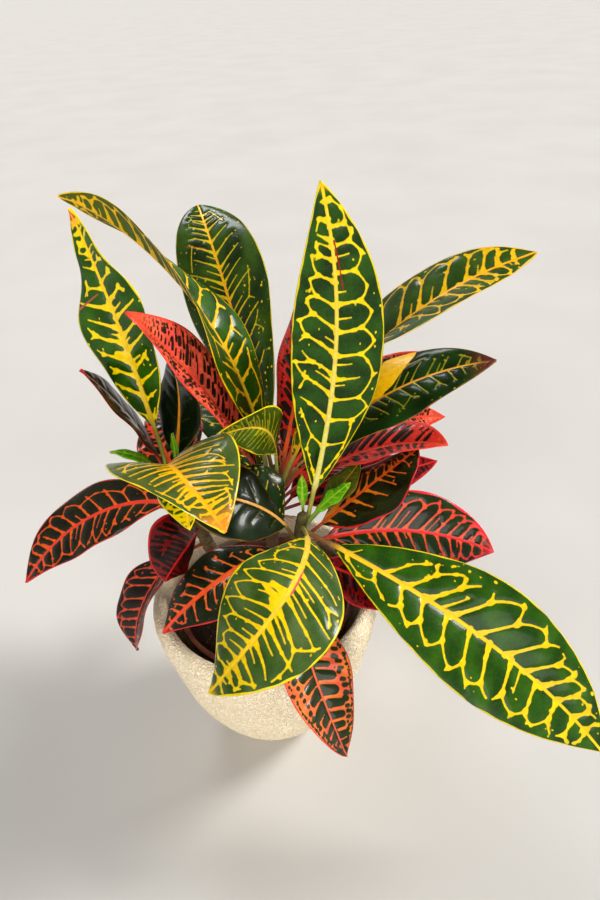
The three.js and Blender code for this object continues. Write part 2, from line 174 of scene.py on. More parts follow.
# How the veins vary, in shares of the spacing, the width or the way across, but for the
# thinnest vein and the lean of a thorn in millimetres. A run says between which places on the
# blade something changes, and then the values before and after it where it has four numbers.
VEIN = {
    "thinnest": 0.8, "first": (0.3, 0.8), "last": 0.95, "apart": (0.8, 1.2),
    "sparse_run": (0, 0.3, 1.35, 1), "crowded_run": (0.55, 1.0, 1, 0.6),
    "bare_run": (0.02, 0.26), "fade_run": 0.2,
    "steps": 7, "sway": 0.5, "near": 0.4, "room": 0.9,
    "width": (0.85, 1.2), "foot": 1.6, "fork": (0.76, 1.14), "bare_fork": 0.7,
    "plain_reach": 1.25, "plain_end": 0.93, "plain_tip": 0.6,
    "short_run": (0.1, 0.3), "short_from": (0.4, 0.6), "short_reach": (0.2, 0.48),
    "short_steps": 4, "short_width": (0.7, 0.35),
    "arm_rise": (0.13, 0.3), "arm_top": 0.92, "arm_peak": (0.42, 0.58), "arm_steps": 6,
    "arm_bend": (0.36, 0.7), "arm_tip": (0.5, 0.85),
    "thorn": (0.02, 0.07), "thorn_lean": 2.2, "thorn_width": (0.75, 0.2), "loop_thorn": 0.03,
    "fork_thorn": 0.05, "trunk_thorn": (2, 5),
}
CELL = {
    "last": 0.9, "place": 0.03, "shift": 0.03, "end": 0.05, "steps": 5, "sway": 0.15,
    "width": (0.8, 1.12), "narrows": (0.7, 1),
}
UNEVEN = {"place": 0.07, "end": 0.09, "width": 0.35}  # what an uneven look adds to these
DOT = {
    "along": (0.08, 0.95), "across": (0.2, 0.93), "across_power": 0.6, "size": (0.4, 1.3),
    "size_power": 1.5, "length": 1, "tail": 0.8,
}

# How the fields are painted, in millimetres or in shares.
PAINT = {
    # The midrib is painted lighter down its middle and darker at its sides: painted shade for a
    # rounded look.
    "fillet": 1.8, "stalk": 1.5, "stalk_run": 9, "stalk_tint": (12, -6), "rib_painted_light": 1.08,
    "rib_painted_shade": 0.22, "edge_wave": 0.4, "edge_size": 18, "edge_from": 6, "drift": 26,
    "ink_across": 0.45, "ink_along": 0.65,
}

# How the veins of each kind of leaf are laid out and coloured, in millimetres or in shares.
# Spacing, lean, plain and loops may be pairs for the right and the left half seen towards the
# tip. Rib, ribs and swell hold the values at the start and at the tip, vein and ink those at
# the midrib and at the margin. Arms is a range, and the ground drifts between its two colours.
# A row of cells is (from, to, count, fill) on the way across.
LOOKS = {
    "gold": dict(spacing=17, lean=(0.4, 0.7), curve=0.15, rib=(4.0, 1.6), vein=(2.1, 1.3),
        fork=0.64, plain=0.1, loops=0.7, arms=(0.5, 0.9), bare=0.6, between=0.35, thorns=0.5,
        dots=34, ground=((20, 60, 2), (40, 84, 8)), ink=((248, 208, 0), (230, 206, 8)),
        ribs=((232, 206, 84), (250, 204, 6)), edge=(222, 200, 12), stalk=(150, 146, 62),
        under=(90, 96, 24)),
    "night": dict(spacing=14, lean=(0.5, 0.6), rib=(3.2, 1.1), vein=(1.0, 0.6), fork=0.5, plain=0.5,
        loops=0.05, arms=(0.3, 0.7), bare=0.7, between=0.5, thorns=0.2, margin=0.6, dots=60,
        ground=((10, 34, 8), (20, 52, 14)), ink=((226, 186, 16), (196, 176, 20)),
        ribs=((214, 132, 30), (224, 156, 30)), edge=(132, 92, 22), stalk=(116, 92, 40),
        under=(58, 70, 22)),
    "ember": dict(spacing=11, lean=(0.45, 0.6), rib=(3.8, 1.8), vein=(1.9, 1.2), fork=0.6,
        plain=0.2, loops=0.6, arms=(0.5, 0.9), bare=0.8, between=0.3, thorns=0.4, dots=16,
        ground=((12, 22, 6), (24, 38, 12)), ink=((240, 106, 36), (222, 48, 40)),
        ribs=((232, 96, 34), (230, 44, 40)), edge=(190, 34, 40), stalk=(150, 72, 44),
        under=(84, 52, 30), gloss=0.4),
    "coral": dict(spacing=9, lean=0.7, curve=0.3, rib=(3.4, 1.8), vein=(1.6, 1.0), margin=2.0,
        dots=70,
        cells=((0.12, 0.3, 2, 0.66), (0.4, 0.56, 2, 0.7), (0.66, 0.8, 2, 0.6),
               (0.86, 0.9, 3, 0.44)),
        clear=0.86, missing=0.08, uneven=0.7, swell=(1.3, 0.75),
        ground=((248, 104, 70), (226, 70, 60)), ink=((24, 18, 8), (34, 22, 12)),
        ribs=((220, 70, 52), (232, 72, 46)), edge=(226, 62, 42), stalk=(150, 60, 48),
        under=(134, 50, 36), gloss=0.22, nets=0.4),
    "crimson": dict(spacing=7.5, lean=0.7, curve=0.3, rib=(2.8, 1.4), vein=(1.2, 0.7), margin=1.4,
        dots=60, cells=((0.14, 0.5, 1, 0.6), (0.6, 0.72, 2, 0.55), (0.82, 0.88, 3, 0.45)),
        clear=0.92, missing=0.1, uneven=0.6, swell=(1.1, 0.8),
        ground=((146, 18, 24), (116, 15, 22)), ink=((24, 10, 6), (30, 14, 10)),
        ribs=((184, 34, 32), (206, 42, 36)), edge=(176, 26, 30), stalk=(120, 36, 30),
        under=(96, 30, 24), gloss=0.3, nets=0.3),
    "young": dict(spacing=7, lean=0.6, curve=0.3, rib=(1.5, 0.7), vein=(0.6, 0.4), fork=0.6,
        plain=0.6, loops=0, arms=(0.2, 0.5), bare=1.0, between=0.0, thorns=0.0, margin=0.5, dots=0,
        ground=((60, 136, 4), (92, 164, 10)), ink=((132, 186, 30), (132, 186, 30)),
        ribs=((142, 186, 50), (152, 194, 40)), edge=(130, 150, 22), stalk=(112, 140, 44),
        under=(92, 134, 32), nets=0.1),
}

# The look where neither a leaf nor its kind says otherwise. Taper says where the blade begins
# to narrow and by what share, and fade where the veins begin to thin and to what share.
USUAL = dict(
    grid=1, widest=1.05, fullness=0.85, taper=(1, 0), curve=0.2, fade=(0.8, 0.7), margin=1.0,
    cells=(), clear=1.0, missing=0.0, gloss=0.2, nets=0.02, tip=None, patches=(), marks=()
)

# What single leaves do otherwise than their kind. A patch or a mark runs from one place to
# another, each a share of the blade's length and a signed share of the way to the margin, with
# a width at both ends. A tip turns to its colour from a share of the length on.
OWN = {
    "front_01": dict(grid=0.77, spacing=(22, 21), lean=(0.2, 0.8), rib=(4.2, 1.9), vein=(2.7, 1.7),
        fork=0.56, loops=(0.7, 0.3), bare=0.25, between=0.1, dots=46,
        ink=((244, 198, 0), (228, 196, 10)), ribs=((228, 184, 40), (246, 204, 16)),
        stalk=(146, 100, 60)),
    "front_02": dict(grid=0.7, spacing=20, lean=(0.1, 0.9), rib=(4.6, 1.8), vein=(2.2, 1.3),
        fork=0.58, loops=0.75, bare=0.4, between=0.5, dots=30, ground=((14, 50, 2), (32, 76, 6)),
        ink=((252, 216, 0), (238, 214, 10)), ribs=((212, 206, 112), (250, 210, 20)),
        tip=(0.965, (226, 178, 20)), marks=[(0.84, -0.08, 0.7, -0.16, 1.0, 0.5, (150, 14, 30))]),
    # Front_03's ground mixes its own green with a painted sheen: greyer and bluer, as a reflection
    # of the sky.
    "front_03": dict(grid=0.65, spacing=(15, 11.5), lean=(0.05, 0.65), rib=(4.6, 2),
        vein=(2.3, 1.1), fork=0.68, plain=(0.1, 0.5), loops=(0.8, 0.1), between=0.8, thorns=0.3,
        margin=1.4, ground=((40, 72, 16), (72, 94, 48)), ink=((242, 196, 0), (228, 196, 10)),
        ribs=((228, 190, 66), (246, 200, 16)), tip=(0.95, (240, 196, 10)),
        patches=[(0.5, -0.05, 0.46, -0.42, 6.5, 2.5), (0.45, -0.08, 0.43, -0.32, 6, 3),
                 (0.54, -0.05, 0.51, -0.2, 4, 1.5)],
        marks=[(0.44, 0.05, 0.3, 0.06, 1.8, 1.2, (206, 84, 84))]),
    "front_04": dict(grid=0.8, spacing=(13, 9), rib=(4.6, 2.2), vein=(2.1, 1.2), fork=0.56,
        plain=(0.8, 0.2), loops=(0.05, 0.8), arms=(0.1, 0.4), bare=1.2, fade=(0.4, 0.5),
        ground=((10, 16, 6), (24, 36, 14)), ink=((250, 158, 16), (226, 60, 36)),
        ribs=((250, 104, 36), (244, 78, 36)), patches=[(0.08, 0.3, 0.3, 0.34, 6, 4)]),
    "front_05": dict(spacing=8, ground=((58, 72, 14), (82, 92, 24)),
        ink=((100, 104, 30), (100, 104, 30)), ribs=((196, 132, 40), (196, 120, 40)),
        edge=(150, 104, 30)),
    "front_06": dict(spacing=17, vein=(0.5, 0.3), plain=1, between=0, dots=4,
        ground=((8, 20, 3), (16, 34, 6)), ink=((70, 72, 20), (50, 60, 16)),
        ribs=((232, 170, 80), (226, 150, 60))),
    "front_07": dict(spacing=12, lean=(0.35, 0.8), vein=(1.6, 1.1), plain=0, loops=(1.0, 0.9),
        margin=1.6, ground=((12, 30, 6), (22, 46, 10)), ink=((236, 108, 40), (232, 40, 52)),
        ribs=((226, 50, 40), (236, 44, 50)), edge=(224, 36, 50), tip=(0.9, (226, 40, 50))),
    "front_09": dict(spacing=10, lean=0.3, rib=(2.6, 1.2), margin=0.8, dots=20,
        cells=((0.09, 0.46, 1, 0.88), (0.65, 0.72, 2, 0.84), (0.88, 0.92, 4, 0.8)), clear=0.93,
        uneven=0.2, swell=(1.04, 0.96), ground=((240, 126, 50), (230, 92, 56)),
        ink=((28, 42, 6), (32, 46, 8)), ribs=((236, 120, 60), (236, 100, 80)), edge=(226, 70, 62)),
    "front_10": dict(grid=0.8, spacing=10, rib=(6, 3.2), vein=(1.7, 0.8), fork=0.56,
        plain=(0.4, 0.5), loops=0.05, arms=(0.1, 0.3), between=0, dots=40,
        ground=((14, 26, 12), (30, 44, 26)), ink=((250, 130, 50), (244, 90, 46)),
        ribs=((255, 112, 46), (252, 74, 40)), tip=(0.93, (232, 54, 30))),
    "left_01": dict(grid=0.7, taper=(0.54, 0.36), spacing=(12, 13), lean=(0.3, 0.5), rib=(4.4, 2.0),
        vein=(2.8, 1.5), fork=0.68, plain=0.6, loops=(0.05, 0.1), arms=(0.2, 0.5), bare=0.8,
        fade=(0.55, 0.5), thorns=0.2, dots=20, ribs=((216, 184, 44), (246, 200, 10)),
        tip=(0.9, (226, 92, 44)), patches=[(0.34, 0.1, 0.36, 0.3, 7, 5)],
        marks=[(0.6, 0.98, 0.63, 0.25, 1.8, 0.8, (166, 80, 62))]),
    "left_02": dict(grid=0.65, spacing=8, lean=0.95, rib=(4.6, 3.4), vein=(1.9, 0.8), plain=0.8,
        loops=0.0, between=0.5, thorns=0.1, dots=12, ground=((54, 74, 24), (74, 90, 40)),
        ink=((240, 176, 0), (228, 180, 8)), ribs=((242, 186, 20), (244, 162, 10)),
        tip=(0.86, (240, 140, 30))),
    "left_03": dict(spacing=8, rib=(3.5, 2.5), vein=(1.6, 1.1)),
    "left_04": dict(spacing=16, rib=(2.2, 1.2), vein=(0.6, 0.4), plain=0.8, dots=0,
        ground=((16, 10, 5), (26, 16, 10)), ink=((84, 26, 18), (112, 32, 26)),
        ribs=((170, 36, 36), (196, 40, 40))),
    "left_05": dict(vein=(0.5, 0.3), plain=1, between=0, dots=2, ground=((6, 18, 4), (12, 28, 8)),
        ink=((44, 50, 16), (34, 44, 14))),
    "left_07": dict(spacing=13, lean=0.45, vein=(1.6, 1.0), loops=(0.9, 0.5),
        ground=((12, 18, 4), (24, 30, 8)), ink=((226, 100, 16), (214, 70, 28)),
        ribs=((222, 62, 36), (224, 56, 40)), tip=(0.95, (206, 36, 30))),
    "left_08": dict(spacing=4.6, cells=((0.1, 0.5, 1, 0.5), (0.58, 0.86, 1, 0.46)), uneven=0.4,
        swell=(1.2, 1.1), ground=((116, 15, 16), (94, 12, 13)), ink=((16, 7, 4), (20, 8, 6))),
    "left_09": dict(spacing=10, lean=0.5, rib=(2.6, 1.4), vein=(1.3, 0.8), plain=0, loops=0.9,
        between=0.1, dots=8, ground=((16, 13, 8), (28, 21, 14)), ink=((200, 80, 38), (186, 60, 32)),
        ribs=((200, 60, 34), (196, 56, 36)), edge=(176, 44, 42)),
    "back_01": dict(grid=0.85, vein=(2.3, 1.4), plain=(0.3, 0.2), loops=(0.4, 0.5),
        ink=((240, 190, 6), (232, 184, 10)), ribs=((220, 184, 44), (238, 176, 18)),
        edge=(232, 190, 14)),
    "back_02": dict(grid=0.8, widest=1.25, fullness=0.5, spacing=16, lean=(0.75, 0.95),
        rib=(3.4, 1.5), vein=(1.8, 0.7), plain=(0.8, 0.5), bare=0.4, fade=(0.8, 0.8), between=0.6,
        dots=130, ground=((18, 42, 4), (44, 72, 12)), ink=((236, 196, 0), (176, 166, 8)),
        ribs=((228, 156, 20), (240, 178, 20)), edge=(190, 170, 24),
        marks=[(0.76, 0.2, 0.8, 0.66, 0.9, 0.5, (190, 66, 26))]),
    "back_03": dict(clear=0.92, tip=(0.84, (236, 84, 50))),
    "back_04": dict(spacing=10,
        cells=((0.16, 0.5, 1, 0.68), (0.64, 0.74, 2, 0.62), (0.88, 0.9, 3, 0.4)), clear=0.95,
        uneven=0.3, swell=(1, 1), ground=((206, 34, 32), (190, 30, 30)),
        ink=((26, 14, 8), (34, 20, 12))),
    "back_05": dict(spacing=7, lean=1.5, rib=(2.4, 1.2), vein=(0.6, 0.3), plain=1, between=0.6,
        dots=6, ground=((52, 78, 10), (70, 92, 20)), ink=((190, 180, 24), (170, 166, 24)),
        edge=(236, 212, 20)),
    "back_06": dict(spacing=(15, 20), vein=(2.2, 1.3), loops=(0.8, 0.6),
        ground=((32, 64, 10), (52, 82, 24)), ink=((240, 184, 8), (228, 182, 12)),
        ribs=((238, 176, 24), (242, 172, 18)), edge=(226, 176, 16)),
    "back_07": dict(grid=0.8, lean=(0.6, 0.9), vein=(0.9, 0.5), plain=0.8,
        ink=((172, 174, 10), (140, 120, 30)), tip=(0.86, (92, 36, 34)),
        marks=[(0.545, 0.45, 0.645, 0.98, 22, 22, (255, 196, 0)),
               (0.44, 0.2, 0.505, 0.22, 13, 13, (255, 196, 0)),
               (0.47, 0.3, 0.53, 0.36, 18, 18, (255, 196, 0))]),
    "back_10": dict(lean=(0.7, 1.0), cells=((0.13, 0.56, 1, 0.64), (0.64, 0.84, 1, 0.56)),
        swell=(1.2, 0.8), ground=((234, 58, 42), (224, 50, 42)), tip=(0.9, (232, 74, 40))),
}


# ---- Meshes ----


def full_turn(count):
    """Evenly spaced angles, all the way round."""
    return np.arange(count) * TAU / count


def polar(radius, angles, z):
    """Points about the Z axis."""
    parts = np.broadcast_arrays(radius * np.cos(angles), radius * np.sin(angles), z)
    return np.stack(parts, -1)


def mix(low, high, share):
    return low + (high - low) * share


def smooth_step(low, high, value):
    share = np.clip((value - low) / (high - low), 0, 1)
    return share * share * (3 - 2 * share)


def ramp(value, low, high, before, after):
    """The one number up to low, the other from high on, and a smooth change between them."""
    return mix(before, after, smooth_step(low, high, value))


def waves(rng, size, count=7):
    """A smooth random function of two places, about 1 high, with swells of the given size."""
    angles = rng.uniform(0, TAU, count)
    steps = TAU / (size * rng.uniform(0.7, 1.6, count))
    starts = rng.uniform(0, TAU, count)

    def height(x, y):
        total = 0
        for angle, step, start in zip(angles, steps, starts):
            total = total + np.sin(step * (x * math.cos(angle) + y * math.sin(angle)) + start)
        return total / math.sqrt(count)

    return height


def rough_height(points, size, octaves):
    """Fractal noise at each point, about -1 to 1, with swells of the given size."""
    places = points.reshape(-1, 3) / size
    heights = [noise.fractal(Vector(place), 1.0, 2.1, octaves) for place in places]
    return np.array(heights).reshape(points.shape[:-1])


def new_mesh(name, points, quads, triangles=(), attributes=(), sides=None):
    """A smooth mesh in metres from points in millimetres. Attributes are (name, values)."""
    mesh = bpy.data.meshes.new(name)
    quads = np.asarray(quads, np.int32).reshape(-1, 4)
    triangles = np.asarray(triangles, np.int32).reshape(-1, 3)
    corners = np.concatenate([quads.ravel(), triangles.ravel()])
    starts = np.concatenate(
        [np.arange(len(quads)) * 4, quads.size + np.arange(len(triangles)) * 3]
    )
    mesh.vertices.add(len(points))
    mesh.vertices.foreach_set("co", (np.asarray(points) * MM).astype(np.float32).ravel())
    mesh.loops.add(len(corners))
    mesh.loops.foreach_set("vertex_index", corners)
    mesh.polygons.add(len(starts))
    mesh.polygons.foreach_set("loop_start", starts.astype(np.int32))
    if sides is not None:
        mesh.polygons.foreach_set("material_index", np.asarray(sides, np.int32))
    mesh.update(calc_edges=True)
    mesh.shade_smooth()
    for title, values in attributes:
        values = np.asarray(values, np.float32)
        if values.ndim == 2:
            layer = mesh.attributes.new(title, "FLOAT_COLOR", "POINT")
            layer.data.foreach_set("color", np.c_[values, np.ones(len(values))].ravel())
        else:
            layer = mesh.attributes.new(title, "FLOAT", "POINT")
            layer.data.foreach_set("value", values)
    return mesh


def placed(name, data):
    """A new object in the scene."""
    thing = bpy.data.objects.new(name, data)
    bpy.context.scene.collection.objects.link(thing)
    return thing


def new_piece(name, mesh, materials, slot, *nodes):
    piece = placed(name, mesh)
    for material in materials:
        mesh.materials.append(material)
    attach(piece, "root")
    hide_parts(*nodes)


def closed_tube(rings):
    """Points, quads and triangles of a closed tube through rings of points. It faces out
    where the rings turn anticlockwise seen from their far end."""
    rows, count = rings.shape[:2]
    k = np.arange(count)
    following = (k + 1) % count
    low = np.arange(rows - 1)[:, None] * count
    quads = np.stack([low + k, low + following, low + count + following, low + count + k], -1)
    top = (rows - 1) * count
    first = rows * count
    fans = np.concatenate([
        np.stack([following, k, np.full(count, first)], -1),
        np.stack([top + k, top + following, np.full(count, first + 1)], -1),
    ])
    points = np.concatenate([rings.reshape(-1, 3), rings[:1].mean(1), rings[-1:].mean(1)])
    return points, quads.reshape(-1, 4), fans


# ---- Stems ----


def stem_point(name, z):
    """The stem's axis at a height: the quadratic through its three points."""
    low, middle, high = (np.array(point, float) for point in STEMS[name])
    t = (np.asarray(z, float)[..., None] - low[2]) / (high[2] - low[2])
    m = (middle[2] - low[2]) / (high[2] - low[2])
    return (
        low * ((t - m) * (t - 1)) / m
        + middle * (t * (t - 1)) / (m * (m - 1))
        + high * (t * (t - m)) / (1 - m)
    )


def stem_radius(name, z):
    low, _, high = STEMS[name]
    return mix(STEM["base"], STEM["tip"], (z - low[2]) / (high[2] - low[2]))


def build_stem(name, material):
    """Bark with leaf scars, from the root in the soil to the rounded top."""
    low, _, high = STEMS[name]
    heights = np.arange(low[2], high[2], STEM["step"])
    foot, top = np.array(low, float), stem_point(name, float(high[2]))
    lean = stem_point(name, low[2] + 1.0) - foot
    lean /= np.linalg.norm(lean)
    depths = np.linspace(STEM["root"], STEM["step"], STEM["root_rings"])[:, None]
    share = np.linspace(0, 1, STEM["cap_rings"])[1:, None]
    centres = np.concatenate([
        foot - lean * depths,
        stem_point(name, heights),
        top + lean * share * STEM["tip"] * STEM["cap"],
    ])
    radii = np.concatenate([
        np.full(STEM["root_rings"], STEM["base"]),
        stem_radius(name, heights),
        STEM["tip"] * np.sqrt(1 - 0.9 * share[:, 0] ** 2),
    ])
    along = centres[:, 2] - low[2]
    from_scar = (along / STEM["scar_every"]) % 1 - 0.5
    scars = np.exp(-((from_scar / STEM["scar_width"]) ** 2)) * (along > STEM["first_scar"])
    radii = radii - STEM["sunk"] + STEM["scar"] * scars
    ring = polar(1, full_turn(STEM["sides"]), 0)
    rings = centres[:, None] + ring * radii[:, None, None]
    ridges = rough_height(rings * STEM["grain"], STEM["ridge_size"], 3)
    rings += ring * (STEM["ridge"] * ridges)[..., None]
    age = smooth_step(*STEM["green_from"], along / (high[2] - low[2]))
    fields = (("age", age, [1, 0]), ("scar", STEM["scar_tint"] * scars, [0, 0]))
    attributes = [(title, np.append(np.repeat(values, STEM["sides"]), ends))
                  for title, values, ends in fields]
    mesh = new_mesh("stem_" + name, *closed_tube(rings), attributes)
    new_piece("bark_" + name, mesh, [material], "bark", "stem_" + name)


# ---- Leaves ----


class Leaf:
    """A leaf's midrib, outline and flat grid, from its row and its look."""

    def __init__(self, key):
        self.name = "leaf_" + key
        self.stem = key.split("_")[0]
        for word, value in zip(LEAF_WORDS, LEAVES[key]):
            setattr(self, word, value)
        self.look = {**USUAL, **LOOKS[self.kind], **OWN.get(key, {})}
        self.rng = np.random.default_rng(zlib.crc32(self.name.encode()))
        self.petiole_radius = LEAF["petiole"] + self.length * LEAF["petiole_per_length"]
        self.blade = self.length - self.petiole
        grid = LEAF_GRID * self.look["grid"]
        self.rows = np.linspace(0, 1, int(self.length / grid) + 2)
        across = max(int(self.width / 2 / grid), LEAF["least_across"])
        self.columns = np.linspace(-1, 1, 2 * across + 1)
        self.x = self.rows * self.length - self.petiole
        self.half = self.half_width(self.x)
        self.y = self.half[:, None] * self.columns

    def half_width(self, x):
        """Half the width at a distance from where the blade starts, petiole and tip included."""
        u = np.clip(x / self.blade, 0, 1)
        full = np.sin(math.pi * u ** self.look["widest"]).clip(0) ** self.look["fullness"]
        narrows_at, share = self.look["taper"]
        narrow = 1 - share * smooth_step(narrows_at, narrows_at + LEAF["taper_run"], u)
        outline = self.width / 2 * full * narrow
        near = (outline**4 + self.petiole_radius**4) ** 0.25
        return np.where(u < 0.5, near, np.maximum(outline, LEAF["tip"]))

    def heading(self, s):
        """The midrib's direction and the one to its left, at shares of the length."""
        slope = np.radians(self.rise - self.droop * s ** LEAF["bend_power"])
        turn = np.radians(self.azimuth + self.swing * s)
        ahead = polar(np.cos(slope), turn, np.sin(slope))
        return ahead, np.stack([-np.sin(turn), np.cos(turn), np.zeros_like(turn)], -1)

    def midrib(self):
        """Places along the leaf, walked in short straight steps from the stem."""
        count = LEAF["steps"]
        ahead, _ = self.heading((np.arange(count) + 0.5) / count)
        lift = abs(math.sin(math.radians(self.rise)))
        reach = stem_radius(self.stem, self.height) + LEAF["seat"] + self.petiole_radius * lift
        start = stem_point(self.stem, self.height) + polar(reach, math.radians(self.azimuth), 0)
        steps = np.cumsum(ahead * (self.length / count), 0)
        walked = np.concatenate([[np.zeros(3)], steps]) + start
        places = np.arange(count + 1) / count
        return np.stack([np.interp(self.rows, places, walked[:, k]) for k in range(3)], -1)

    def root(self, start, direction):
        """Places that carry the petiole back into its stem on a smooth bend."""
        reach = LEAF["root_bend"]
        inside = stem_point(self.stem, self.height - reach * abs(direction[2]) - 1)
        bend = start - direction * reach
        t = np.linspace(0, 1, LEAF["root_steps"])[:-1, None]
        points = (1 - t) ** 2 * inside + 2 * t * (1 - t) * bend + t**2 * start
        tangents = 2 * (1 - t) * (bend - inside) + 2 * t * (start - bend)
        return points, tangents / np.linalg.norm(tangents, axis=1, keepdims=True)


def drawn(strokes, x, y, fillet=0.0):
    """The distance from each grid point to the edge of the nearest stroke, negative inside.
    A stroke is a list of pieces (x0, y0, x1, y1, width0, width1). Where strokes meet, a
    fillet of the given size webs them together."""
    field = np.full(y.shape, FAR)
    for stroke in strokes:
        pieces = np.array(stroke)
        pad = FAR + pieces[:, 4:].max() / 2
        low, high = pieces[:, [0, 2]].min() - pad, pieces[:, [0, 2]].max() + pad
        first, last = np.searchsorted(x, (low, high))
        if first == last:
            continue
        near = np.full((last - first, y.shape[1]), FAR)
        for x0, y0, x1, y1, width0, width1 in stroke:
            px, py = x[first:last, None] - x0, y[first:last] - y0
            dx, dy = x1 - x0, y1 - y0
            along = np.clip((px * dx + py * dy) / (dx * dx + dy * dy + 1e-9), 0, 1)
            gap = np.hypot(px - along * dx, py - along * dy) - mix(width0, width1, along) / 2
            near = np.minimum(near, gap)
        here = field[first:last]
        web = 0
        if fillet:
            web = np.maximum(fillet - np.abs(here - near), 0) ** 2 / (4 * fillet)
            web = web * (np.maximum(here, near) < fillet)
        field[first:last] = np.minimum(here, near) - web
    return field


class Veins:
    """The strokes of one leaf's veins or cells, in millimetres on its flat blade."""

    def __init__(self, leaf):
        self.leaf, self.look, self.rng = leaf, leaf.look, leaf.rng
        self.lines, self.ink = [], []
        for half in (0, 1):
            draw = self.draw_cells if self.look["cells"] else self.draw_laterals
            draw(self.starts(half), half)
        self.lines = self.lines or list(self.ink)
        self.dots()

    def of_half(self, key, half):
        """A value of the look for one half, where a single number stands for both."""
        value = self.look[key]
        return value[half] if isinstance(value, tuple) else value

    def stroke(self, places, widths, into, least=VEIN["thinnest"]):
        """Adds a stroke through places given as a distance along and a signed share across."""
        spots = [(x, p * float(self.leaf.half_width(x))) for x, p in places]
        sizes = np.maximum(np.linspace(*widths, len(spots)), least)
        into.append([(*spots[i], *spots[i + 1], sizes[i], sizes[i + 1])
                     for i in range(len(spots) - 1)])

    def shape(self, start, p0, end, p1, width0, width1, into):
        """Adds a patch or a mark, given by shares of the blade's length."""
        blade = self.leaf.blade
        self.stroke([(start * blade, p0), (end * blade, p1)], (width0, width1), into)

    def starts(self, half):
        """Where the laterals of one half leave the midrib."""
        spacing, blade = self.of_half("spacing", half), self.leaf.blade
        start = spacing * self.rng.uniform(*VEIN["first"])
        places = []
        while start < blade * VEIN["last"]:
            places.append(start)
            u = start / blade
            crowding = ramp(u, *VEIN["sparse_run"]) * ramp(u, *VEIN["crowded_run"])
            start += spacing * crowding * self.rng.uniform(*VEIN["apart"])
        return places

    def run(self, start, half, low, high, steps=VEIN["steps"], sway=VEIN["sway"]):
        """Places along the path that a lateral from this start takes."""
        leaf, curve, lean = self.leaf, self.look["curve"], self.of_half("lean", half)
        near = float(leaf.half_width(min(start + VEIN["near"] * leaf.width / 2, leaf.blade)))
        room = max(VEIN["room"] * (leaf.blade - start), 1)
        shifts = self.rng.normal(0, sway, steps).cumsum()
        places = []
        for p, shift in zip(np.linspace(low, high, steps), shifts):
            forward = (lean * p + curve * p * p) * near
            forward = forward / (1 + forward / room) + shift * p
            places.append((min(start + forward, leaf.blade), (2 * half - 1) * p))
        return places

    def draw_laterals(self, starts, half):
        """Laterals that fork, with arms that run on or join their neighbours' arms."""
        look, rng, leaf = self.look, self.rng, self.leaf
        side = 2 * half - 1
        fades_at, share = look["fade"]
        forks = []
        for start in starts:
            u = start / leaf.blade
            grown = ramp(u, *VEIN["bare_run"], look["bare"], 1)
            grown *= ramp(u, fades_at, fades_at + VEIN["fade_run"], 1, share)
            inner, outer = (width * grown * rng.uniform(*VEIN["width"]) for width in look["vein"])
            fork = look["fork"] * rng.uniform(*VEIN["fork"]) * mix(VEIN["bare_fork"], 1, grown)
            plain = rng.random() < self.of_half("plain", half)
            end = min(fork * VEIN["plain_reach"], VEIN["plain_end"]) if plain else fork
            trunk = self.run(start, half, 0, end)
            self.stroke(trunk[:2], (inner * VEIN["foot"], inner), self.ink)
            self.stroke(trunk, (inner, outer * VEIN["plain_tip"] if plain else outer), self.ink)
            self.thorn(trunk[rng.integers(*VEIN["trunk_thorn"])], outer, side)
            if not plain:
                forks.append((trunk[-1], outer))
            if rng.random() < look["between"] * smooth_step(*VEIN["short_run"], u):
                between = start + self.of_half("spacing", half) * rng.uniform(*VEIN["short_from"])
                end = rng.uniform(*VEIN["short_reach"])
                short = self.run(between, half, 0, end, VEIN["short_steps"])
                thick, thin = VEIN["short_width"]
                self.stroke(short, (inner * thick, outer * thin), self.ink)
        for (first, width), (second, other) in zip(forks, forks[1:]):
            rise = rng.uniform(*VEIN["arm_rise"])
            top = min(max(abs(first[1]), abs(second[1])) + rise, VEIN["arm_top"])
            ahead = self.of_half("lean", half) * rise * leaf.width / 2
            peak = (mix(first[0], second[0], rng.uniform(*VEIN["arm_peak"])) + ahead, side * top)
            joined = rng.random() < self.of_half("loops", half)
            for fork, size in ((first, width), (second, other)):
                self.arm(fork, peak, size, 1 if joined else rng.uniform(*look["arms"]))
            if joined:
                self.thorn(peak, (width + other) / 2, side, VEIN["loop_thorn"])
        for place, width in forks:
            self.thorn(place, width, side, VEIN["fork_thorn"])

    def arm(self, fork, peak, width, share):
        """One arm of a fork, on a bend that opens towards the margin."""
        bend = [mix(start, end, part) for start, end, part in zip(fork, peak, VEIN["arm_bend"])]
        places = []
        for t in np.linspace(0, share, VEIN["arm_steps"]):
            a, b, c = (1 - t) ** 2, 2 * t * (1 - t), t * t
            places.append(tuple(a * f + b * m + c * e for f, m, e in zip(fork, bend, peak)))
        self.stroke(places, (width, width * mix(*VEIN["arm_tip"], share)), self.ink)
        if share < 1:
            self.thorn(places[-2], width, math.copysign(1, fork[1]))

    def thorn(self, place, width, side, least=0.0):
        """A short tapering spur towards the margin, at some places only."""
        if self.rng.random() > self.look["thorns"]:
            return
        lean = self.rng.uniform(-VEIN["thorn_lean"], VEIN["thorn_lean"])
        reach = least + self.rng.uniform(*VEIN["thorn"])
        thick, thin = VEIN["thorn_width"]
        end = (place[0] + lean, place[1] + side * reach)
        self.stroke([place, end], (width * thick, width * thin), self.ink)

